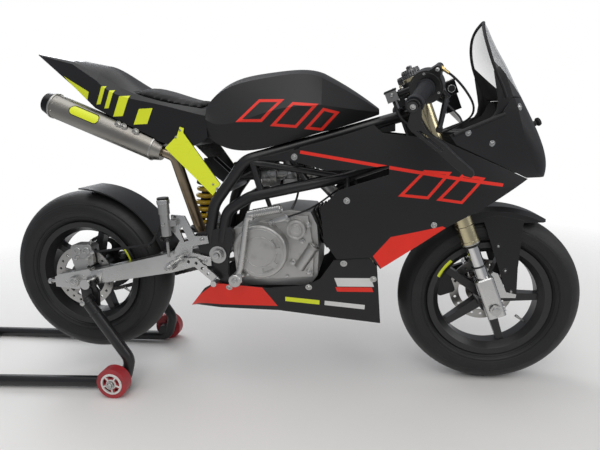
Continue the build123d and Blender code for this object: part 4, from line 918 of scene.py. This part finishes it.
def screen_trim(rubber, bright, panel):
    """The black edging of the screen, its screws, and the nose's rolled lip, ears, screws and rubber stop."""
    edging = Kit("screen_edging", rubber, "black_small")
    right, left = [[screen_point(side, row) for row in SCREEN_ROWS] for side in (RIGHT, LEFT)]
    edging.line([*right, *reversed(left)], 3.8)
    edging.done()
    ears = Kit("nose_ears", panel, "black_panel")
    for side in (RIGHT, LEFT):
        outline = [
            (1133, 722), (1150, 733), (1157, 744), (1160, 764), (1157, 786), (1148, 836), (1160, 846),
            (1176, 826), (1194, 776), (1170, 736),
        ]
        ears.plate(outline, side * 102.2, side * 104.6, 0.6)
    ears.done()
    screws = Kit("panel_screws", bright, "steel")
    places = {
        "nose_cowl": ((1213, 751, 6), (1090, 696, 5), (1150, 668, 5)),
        "fairing": ((671, 656, 5.5), (800, 545, 5.5), (1010, 480, 5)),
        "belly_pan": ((787, 378, 6), (862, 332, 6), (468, 304, 6), (690, 306, 6)),
    }
    for node, rows in places.items():
        for side, suffix in ((RIGHT, "_right"), (LEFT, "_left")):
            for x, z, radius in rows:
                at, normal = from_side(node + suffix if node == "fairing" else node, x, z, side)
                screws.bolt(at, normal, radius, radius * 0.45, "dome")
                screws.ring(radius * 0.9, radius * 1.5, -0.6, 0.7, at, normal)
    stop = Kit("nose_stop", rubber, "black_small")
    at, normal = meet("nose_cowl", (1500, 0, 706), (-1, 0, 0))
    stop.lathe([(0, -2), (7, -2), (7, 9), (10, 11), (11.5, 14), (10, 19), (5, 21), (0, 21)], at, normal)
    stop.done()
    lip = Kit("nose_lip", panel, "black_panel")
    edge = [(1176, 737), (1136, 722), (1088, 705.5), (1055, 693)]
    for side in (RIGHT, LEFT):
        lip.line([from_side("nose_cowl", x, z, side)[0] for x, z in edge], 4.5)
    lip.done()
    return screws


def tail_fittings(screws, black, bright):
    """The strut bolts, and the silencer's rings, cap, lugs and rivets."""
    along = (SILENCER_REAR - SILENCER_FRONT).normalized()
    rise = ACROSS.cross(along)
    oval = 1.058
    steel = Kit("silencer_fittings", bright, "titanium")
    steel.ring(34.2, 35.6, 24, 29, SILENCER_FRONT, along, 40, wide=oval)
    steel.ring(34.2, 35.8, 328, 333, SILENCER_FRONT, along, 40, wide=oval)
    black.ring(16.8, 23, 352, 360, SILENCER_FRONT, along, 32, 1.5)
    for out in circle(10, ACROSS * 1.06, rise, 0.5):
        steel.bolt(SILENCER_FRONT + along * 321 + out * 34, out, 2.4, 1.4, "dome")
    # Lugs that hang the silencer from the seat frame: distance along it
    for run in (80, 116, 132):
        at, out = SILENCER_FRONT + along * run + rise * 25 - ACROSS * 27, (0, -1, 0.2)
        steel.bolt(at, out, 7.5, 4, "dome")
        steel.ring(6, 10.5, -6, 1, at, out)
    steel.done()
    screws.pairs([(x, 110, z, 4, 2.2, "dome") for x, z in ((352, 718), (366, 735), (444, 590), (453, 578))])


def cover_fittings(silver, iron):
    """Cover screws and turned rings, the release arm, the starter lever's clamp and the peg's knurls."""
    for x, z in ((534, 448), (600, 482), (640, 490), (694, 474), (676, 430), (648, 372), (690, 344)):
        silver.bolt((x, -109, z), -ACROSS, 5, 4.5, "hexagon", x)
        silver.ring(4.5, 7, -0.5, 1, (x, -109, z), -ACROSS)
    for x, z in ((530, 350), (520, 400), (575, 330), (630, 332)):
        silver.bolt(from_side("clutch_cover", x, z)[0], -ACROSS, 4.5, 4, "hexagon", z)
    cover, cap = (567, -145, 411), (663, -124, 465)
    iron.ring(60, 63.5, -0.8, 1.2, cover, -ACROSS, 64, 0.6)
    iron.ring(40, 42, 0, 1.4, cover, -ACROSS, 64, 0.5)
    iron.ring(20.5, 25, 0, 2.4, cap, -ACROSS, 36, 0.8)
    iron.ring(8, 11, 0, 2, cap, -ACROSS, 24, 0.6)
    filler, filler_way = (706, -104, 414), (42, 0, 58)
    iron.stud(16.8, -5, 4, filler, filler_way, 28, 1.2)
    iron.stud(9, 3, 7, filler, filler_way, 6, 0.8)
    # The release arm, the starter lever's clamp, and the peg with its joint
    silver.plate([(588, 474), (585, 482), (590, 488), (636, 505), (645, 500), (643, 491)], -112, -106)
    silver.stud(6, 0, 5, (593, -112, 481), -ACROSS)
    silver.stud(4.5, -3, 7, (639, -112, 498), -ACROSS)
    silver.ring(8, 17, 0, 17, (499, -151, 338), -ACROSS, 24, 1.5)
    silver.block((12, 15, 26), (513, -158, 346), 2)
    silver.bolt((499, -168, 338), -ACROSS, 8, 4)
    silver.bolt((520, -158, 350), (1, 0, 0.3), 4, 4, "hexagon")
    knurl = ((0, 0), (2.1, 1), (2.1, 3), (0, 4))
    knurls = [(9.5 + out, 5 * step + 4 + run) for step in range(15) for out, run in knurl]
    peg = Vector((560, -166.5, 518.8))
    silver.lathe([(9, 3), *knurls, (9, 80), (9, 3)], peg, Vector((636, -176, 532)) - peg, 20)
    silver.block((18, 20, 18), (553, -164, 512), 3, (0.2, 0, 1))
    silver.bolt((553, -174.5, 512), -ACROSS, 4.5, 3, "hexagon")
    # Left: the generator cover's rib and screws
    cover = Vector((630, 112, 410))
    iron.ring(52, 58, -1, 2, cover, ACROSS, 56, 0.8)
    iron.stud(12, -1, 3, cover, ACROSS, 24, 1)
    for step, out in enumerate(circle(6, AHEAD, UP)):
        silver.bolt(cover + out * 54, ACROSS, 4.5, 4.5, "hexagon", 10 * step)


def cylinder_fittings(silver, iron, hoses):
    """The cylinder's nuts, plug and lead, hoses, the loom with its ties, and the carburettor's fittings."""
    rise, lean = Vector((-0.3256, 0, 0.9455)), Vector((0.9455, 0, 0.3256))
    base = Vector((706, 0, 445))
    for y in (-38, 38):
        for up in (-34, 34):
            silver.bolt(base + lean * 152 + rise * up + ACROSS * y, lean, 6, 6, "hexagon")
    plug, plug_way = base + lean * 128 - ACROSS * 57, Vector((0.25, -1, 0.25))
    hoses.stud(9, -4, 26, plug, plug_way, 16, 2)
    end = plug + plug_way.normalized() * 22
    loom = [(560, -82, 636), (640, -74, 652), (740, -58, 678), (860, -40, 706), (916, -28, 716)]
    # Radius and way of the plug's lead, the coil's, fuel, breather and crankcase hoses, and the loom
    for radius, way in (
        (3.4, [end, end + Vector((8, -22, 14)), (838, -106, 560), (800, -72, 612),
               (742, -30, 642), (700, 20, 652)]),
        (4, [(640, 24, 690), (652, 30, 668), (650, 22, 640), (644, 6, 622)]),
        (7, [(560, 50, 494), (548, 62, 530), (520, 66, 580), (500, 60, 600), (512, 40, 612)]),
        (3, [(655, -30, 628), (668, -52, 590), (664, -70, 540), (650, -88, 516)]),
        (4.5, [(470, -60, 592), (520, -88, 610), (600, -84, 640), (700, -72, 668), (820, -52, 706)]),
        (5, loom),
    ):
        hoses.line(way, radius)
    hoses.block((46, 30, 34), (690, 26, 652), 4)
    for low, high in zip(loom, loom[1:-1]):
        low, high = Vector(low), Vector(high)
        hoses.ring(4.8, 6.6, -2, 2, (low + high) / 2, high - low, 14)
    # Carburettor: bell, slide cap, float bowl, clips and screws
    middle = (640, -8, 640)
    iron.ring(17, 23.5, 0, 6, middle, edge=1)
    iron.stud(15, 0, 22, middle, UP, 28, 3)
    iron.block((46, 40, 26), (640, -8, 578), 6)
    iron.stud(9, 0, 8, (640, -8, 565), -UP, 6)
    silver.ring(38.2, 39.6, 0, 9, (586, -8, 606), -AHEAD, 36, 0.5)
    silver.ring(20.2, 22, 0, 7, (676, -8, 606), AHEAD, 28, 0.5)
    silver.bolts([((x, y, 592), UP, 2.6, 2) for x in (658, 622) for y in (-26, 10)])
    silver.bolt((640, -31, 606), -ACROSS, 6, 8, "hexagon")
    silver.bolt((660, -29, 612), -ACROSS, 3.6, 6)


def engine_fittings(bright, dark, cast):
    """Everything loose on the engine; gives back the screws, to which the rest of the frame's are added."""
    silver = Kit("engine_screws", bright, "steel")
    iron = Kit("engine_castings", cast, "cast_alloy")
    hoses = Kit("hoses_and_leads", dark, "black_small")
    cover_fittings(silver, iron)
    cylinder_fittings(silver, iron, hoses)
    iron.done()
    hoses.done()
    return silver


def rear_fittings(silver, black, alloy):
    """Peg ends, hanger and caliper screws, the master cylinder's cup and rod, hose clips and axle blocks."""
    silver.pairs([
        (407, 125.3, 381, 6, 5), (403, 125.3, 442, 6, 5), (330, 200, 382, 7, 3), (442, 133, 397, 8, 2),
        (0, 124, 319, 9, 2), (-30, 112, 316, 3.6, 1.6, "dome"), (26, 112, 334, 3.6, 1.6, "dome"),
    ])
    for side in (RIGHT, LEFT):
        silver.ring(9, 15, 0, 3, (442, side * 127, 397), ACROSS * side, 24)
        # The welded plate where the beam meets its axle block
        alloy.plate([(48, 306), (50, 348), (92, 352), (76, 312)], side * 112.4, side * 113.6)
        alloy.line([(x, side * 112.6, z) for x, z in ((48, 306), (49, 328), (50, 350))], 1.8, 1)
        silver.bolt((259, side * 74, 392), UP, 4, 2)
    cup = (311, -140, 545)
    alloy.stud(17, 0, 12, cup, UP, 28, 1)
    black.stud(16, 12, 18, cup, UP, 28, 1.5)
    silver.stud(3.2, 0, 42, (311, -140, 400), UP, 12)
    boot = [(4, 0), (9, 2), (7, 6), (9, 10), (7, 14), (9, 18), (5, 21), (4, 21), (4, 0)]
    black.lathe(boot, (311, -140, 440), UP, 20)
    # Right: the master cylinder's screws, then the rear caliper's
    silver.bolts([
        ((311, -153, 530), -ACROSS, 3.4, 2), ((311, -153.4, 492), -ACROSS, 5, 3),
        ((330, -133.5, 492), -ACROSS, 4, 3), ((330, -133.5, 506), -ACROSS, 4, 3),
        ((-4, -90.2, 381), -ACROSS, 5.5, 3.5), ((32, -90.2, 381), -ACROSS, 5.5, 3.5),
        ((47, -84, 398), (0.3, -1, 0), 6.5, 4, "hexagon"),
    ])
    for x in (0, 28):
        silver.ring(7, 12, 0, 2.4, (x, -86, 402), -ACROSS, 28, 0.8)
    silver.stud(3.4, 0, 12, (36, -70, 420), (0.3, 0, 1), 6)
    for clip in ((247, -118, 426), (290, -129, 447)):
        black.ring(3.6, 6.4, -3, 3, clip, (0.9, -0.1, 0.3), 16)
    # Left: the gear rod from the lever to the engine's shaft
    silver.line([(432, 135, 376), (480, 128, 372), (520, 112, 366)], 3)
    for end in ((432, 133, 376), (520, 110, 366)):
        silver.stud(6, -4, 5, end, ACROSS, 18)
    alloy.plate([(512, 360), (512, 374), (532, 352), (540, 330), (530, 328)], 100, 106)


def wheel_fittings(bright):
    """Disc and sprocket screws, and the valves."""
    front = Kit("front_wheel_screws", bright, "steel", "front_wheel")
    rear = Kit("rear_wheel_screws", bright, "steel", "rear_wheel")
    for step, out in enumerate(circle(5, UP, AHEAD, 0.5)):
        front.bolt(FRONT_HUB + out * 37 + ACROSS * 52, ACROSS, 4.5, 3, "dome")
        rear.bolt(REAR_HUB + out * 37 - ACROSS * 68, -ACROSS, 4.5, 3, "dome")
        rear.bolt(REAR_HUB + out * 37 + ACROSS * 77, ACROSS, 5, 0.5, "hexagon", 72 * step)
    for kit, hub in ((front, FRONT_HUB), (rear, REAR_HUB)):
        out = Vector((sin(2.2), 0, cos(2.2)))
        kit.stud(3, 0, 20, hub + out * 131, -out, 12)
        kit.stud(4, 18, 28, hub + out * 131, -out, 12)
        kit.done()


def on_sprocket(hub, turn):
    """A point of a sprocket's pitch circle, given as x, z and radius."""
    x, z, radius = hub
    return Vector((x + radius * cos(turn), CHAIN_Y, z + radius * sin(turn)))


def chain_links(steel):
    """The drive chain: rollers, inner and outer side plates round both sprockets."""
    links = Kit("chain_links", steel, "steel")
    (rear_x, rear_z, big), (drive_x, drive_z, small) = CHAIN_REAR, CHAIN_DRIVE
    reach = Vector((drive_x - rear_x, drive_z - rear_z))
    spin, lie = acos((big - small) / reach.length), atan2(reach.y, reach.x)
    top, low = lie + spin, lie - spin
    straight = (reach.length ** 2 - (big - small) ** 2) ** 0.5
    wrap = 2 * spin * small
    whole = 2 * straight + wrap + 2 * (pi - spin) * big

    def at(run):
        """The point this far along the loop, from where it leaves the rear sprocket's top."""
        run %= whole
        if run < straight:
            return on_sprocket(CHAIN_REAR, top).lerp(on_sprocket(CHAIN_DRIVE, top), run / straight)
        run -= straight
        if run < wrap:
            return on_sprocket(CHAIN_DRIVE, top - run / small)
        run -= wrap
        if run < straight:
            return on_sprocket(CHAIN_DRIVE, low).lerp(on_sprocket(CHAIN_REAR, low), run / straight)
        return on_sprocket(CHAIN_REAR, low - (run - straight) / big)

    points = [at(link * whole / LINKS) for link in range(LINKS + 1)]
    for link, (start, end) in enumerate(zip(points, points[1:])):
        middle, way = (start + end) / 2, (end - start).normalized()
        for side in (RIGHT, LEFT):
            part = bmesh.new()
            bmesh.ops.create_cone(part, cap_ends=True, segments=10, radius1=5.6, radius2=5.6, depth=1.3)
            for vert in part.verts:
                vert.co.x += copysign((end - start).length / 2, vert.co.x)
            part.transform(Matrix((way, way.cross(ACROSS), ACROSS)).transposed().to_4x4())
            links.join(part, middle + ACROSS * side * (3.6 if link % 2 else 5.3))
        links.stud(2.2, -6.6, 6.6, start, ACROSS, 6, 0.2)
        links.stud(3.9, -2.9, 2.9, start, ACROSS, 8, 0.2)
    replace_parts(links.done(), "chain")


def stand_fittings(bright, dark, white):
    """The stand's hook plates, collars and end caps, and the rollers' spoked hubs."""
    steel = Kit("stand_bolts", bright, "steel")
    black = Kit("stand_collars", dark, "black_steel")
    for at, radius, height in (((52, 168, 272), 8, 5), ((44, 137.4, 276), 4.5, 3), ((127, 213, 44.6), 8, 4)):
        steel.pairs([(*at, radius, height, "hexagon")])
    for side, name in ((RIGHT, "right"), (LEFT, "left")):
        out = ACROSS * side
        top = Vector((50, side * 152, 279))
        way = Vector((-112, 0, 185)).normalized()
        black.ring(15.9, 18, 0, 5, top - way * 52, way, 32, 1)
        black.ring(15.9, 17.6, 0, 4, top - way * 14, way, 32, 1)
        black.plate([(30, 262), (28, 322), (40, 330), (62, 300), (66, 262)], side * 132.4, side * 137, 0.8)
        black.stud(15.6, 0, 6, (-560, side * 170, 16), out, 28, 2)
        steel.ring(8, 12, -1, 1.5, (127, side * 213, 44.6), out, 24)
        hub = Kit(f"roller_hub_{name}", white, "roller_red", f"stand_roller_{name}")
        middle = Vector((127, side * 190, 44.6))
        hub.ring(25.5, 31.5, 13, 17.6, middle, out, 40, 0.8)
        hub.ring(10.4, 14.5, 13, 18.4, middle, out, 28, 0.8)
        for spoke in circle(5, UP, AHEAD, 0.5):
            hub.line([middle + out * 16 + spoke * reach for reach in (13, 27)], 2.6, 1)
        hub.done()
    steel.done()
    black.done()


def front_fittings(silver, black):
    """Mudguard, axle and caliper screws, and the hose's clip."""
    silver.pairs([(1173, 117.2, 242, 9.5, 1.6)])
    for side in (RIGHT, LEFT):
        for x, z in ((1186, 400), (1206, 333), (1223, 275)):
            at, normal = from_side("front_mudguard", x, z, side)
            silver.bolt(at, normal, 4.2, 2.4, "dome")
            black.ring(3.8, 6.5, -0.5, 0.8, at, normal)
    for up in (34, 90):
        silver.bolt(steer(-68, LEG_Y - 8, up), ACROSS, 5, 4)
    for up in (44, 80):
        silver.ring(8, 13, 0, 2, steer(-68, LEG_Y - 8.4, up), ACROSS, 24)
    silver.bolt(steer(-66, 66, 104), STEER_UP, 6, 6, "hexagon")
    black.ring(3.6, 6, -3, 3, steer(72, 104, 300), (0, 0.2, 1), 16)


def crossing_cable(name, material, points, start, end):
    """A cable from the bars to the frame, in one fixed shape."""
    cable = Kit(name, material, "black_small")
    cable.line(points, 2.6)
    cable.mesh.transform(TO_METRES)
    piece = solid(name, cable.mesh, material, 60)
    TO_METRES @ Vector(start)
    TO_METRES @ Vector(end)
    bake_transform(piece)


def control_cables(rubber, throttle_end, throttle_way):
    """The throttle's and the clutch's cables."""
    crossing_cable(
        "throttle_cable", rubber,
        [throttle_end + throttle_way * 24, throttle_end + throttle_way * 58, (1120, -92, 742),
         (1066, -58, 706), (1002, -52, 684), (930, -52, 676), (840, -50, 664), (742, -36, 668),
         (664, -14, 672), (642, -8, 664)],
        (1060, -70, 720), (930, -52, 676),
    )
    lever = steer(124, 182, 533)
    crossing_cable(
        "clutch_cable", rubber,
        [lever, lever + Vector((6, -30, -10)), (1128, 96, 716), (1062, 60, 690), (1000, 54, 664),
         (930, 50, 640),
         (850, 40, 600), (770, -30, 556), (712, -92, 520), (664, -112, 504), (642, -113, 499)],
        (1062, 62, 700), (930, 50, 640),
    )


def seat_pad(foam):
    """The closed-cell pad, swelled a little by cloth simulation so that its top crowns and its edges roll."""
    source = bmesh.new()
    source.from_mesh(NODES["seat_pad"].data)
    bmesh.ops.remove_doubles(source, verts=source.verts, dist=1e-5)
    middle = sum((v.co for v in source.verts), Vector()) / len(source.verts)
    bmesh.ops.scale(source, vec=(0.975, 0.965, 0.95), space=Matrix.Translation(-middle), verts=source.verts)
    mesh = bpy.data.meshes.new("foam_pad")
    source.to_mesh(mesh)
    source.free()
    pad = bpy.data.objects.new("foam_pad", mesh)
    bpy.context.scene.collection.objects.link(pad)
    grid = pad.modifiers.new("grid", "REMESH")
    grid.mode = "VOXEL"
    grid.voxel_size = VOXEL
    settle(pad)
    rest = [vert.co.copy() for vert in pad.data.vertices]
    cloth = pad.modifiers.new("cloth", "CLOTH")
    cloth.settings.use_pressure = True
    cloth.settings.uniform_pressure_force = PRESSURE
    cloth.settings.effector_weights.gravity = 0
    for number in range(1, FRAMES + 1):
        bpy.context.scene.frame_set(number)
    settle(pad)
    bpy.context.scene.frame_set(1)
    for vert, before in zip(pad.data.vertices, rest):
        move = vert.co - before
        if move.length > SWELL:
            vert.co = before + move.normalized() * SWELL
    smooth = pad.modifiers.new("smooth", "SUBSURF")
    smooth.levels = smooth.render_levels = 1
    settle(pad)
    pad.data.materials.clear()
    pad.data.materials.append(foam)
    pad.data.shade_smooth()
    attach(pad, "chassis")
    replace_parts(pad, "seat_pad")


def settle(piece):
    """Makes a piece's modifiers part of its mesh."""
    shape = piece.evaluated_get(bpy.context.evaluated_depsgraph_get())
    done = bpy.data.meshes.new_from_object(shape)
    piece.modifiers.clear()
    piece.data = done


def fittings(panel, milled, cast, bright, dark, rubber):
    """All the loose pieces, body by body."""
    ribbed_grips(soft_rubber("grip_rubber", (0.02, 0.021, 0.026)))
    brass = plated("brass", (0.55, 0.42, 0.18), 0.3)
    silver, black, throttle_end, throttle_way = bar_fittings(bright, dark, brass)
    clutch_reservoir(silver, black)
    front_fittings(silver, black)
    silver.done()
    black.done()
    screen(clear_screen("clear_screen"))
    screws = screen_trim(rubber, bright, panel)
    caps = Kit("chassis_fittings_black", dark, "black_small")
    tail_fittings(screws, caps, brushed_alloy("silencer_steel", (1, 1, 0.2), (0.5, 0.49, 0.46), 0.3))
    screws.done()
    bolts = engine_fittings(bright, dark, cast)
    alloy = Kit("chassis_fittings_alloy", milled, "bare_alloy")
    rear_fittings(bolts, caps, alloy)
    bolts.done()
    caps.done()
    alloy.done()
    wheel_fittings(bright)
    chain_links(plated("chain_steel", (0.12, 0.115, 0.11), 0.36))
    white = gloss("white_nylon", (0.74, 0.73, 0.70), 0.45)
    stand_fittings(bright, powder_coat("stand_trim"), white)
    control_cables(rubber, throttle_end, throttle_way)
    seat_pad(cell_foam("pad_foam"))


bpy.context.scene.view_settings.view_transform = "Standard"
camera()
fittings(*finishes())
studio()
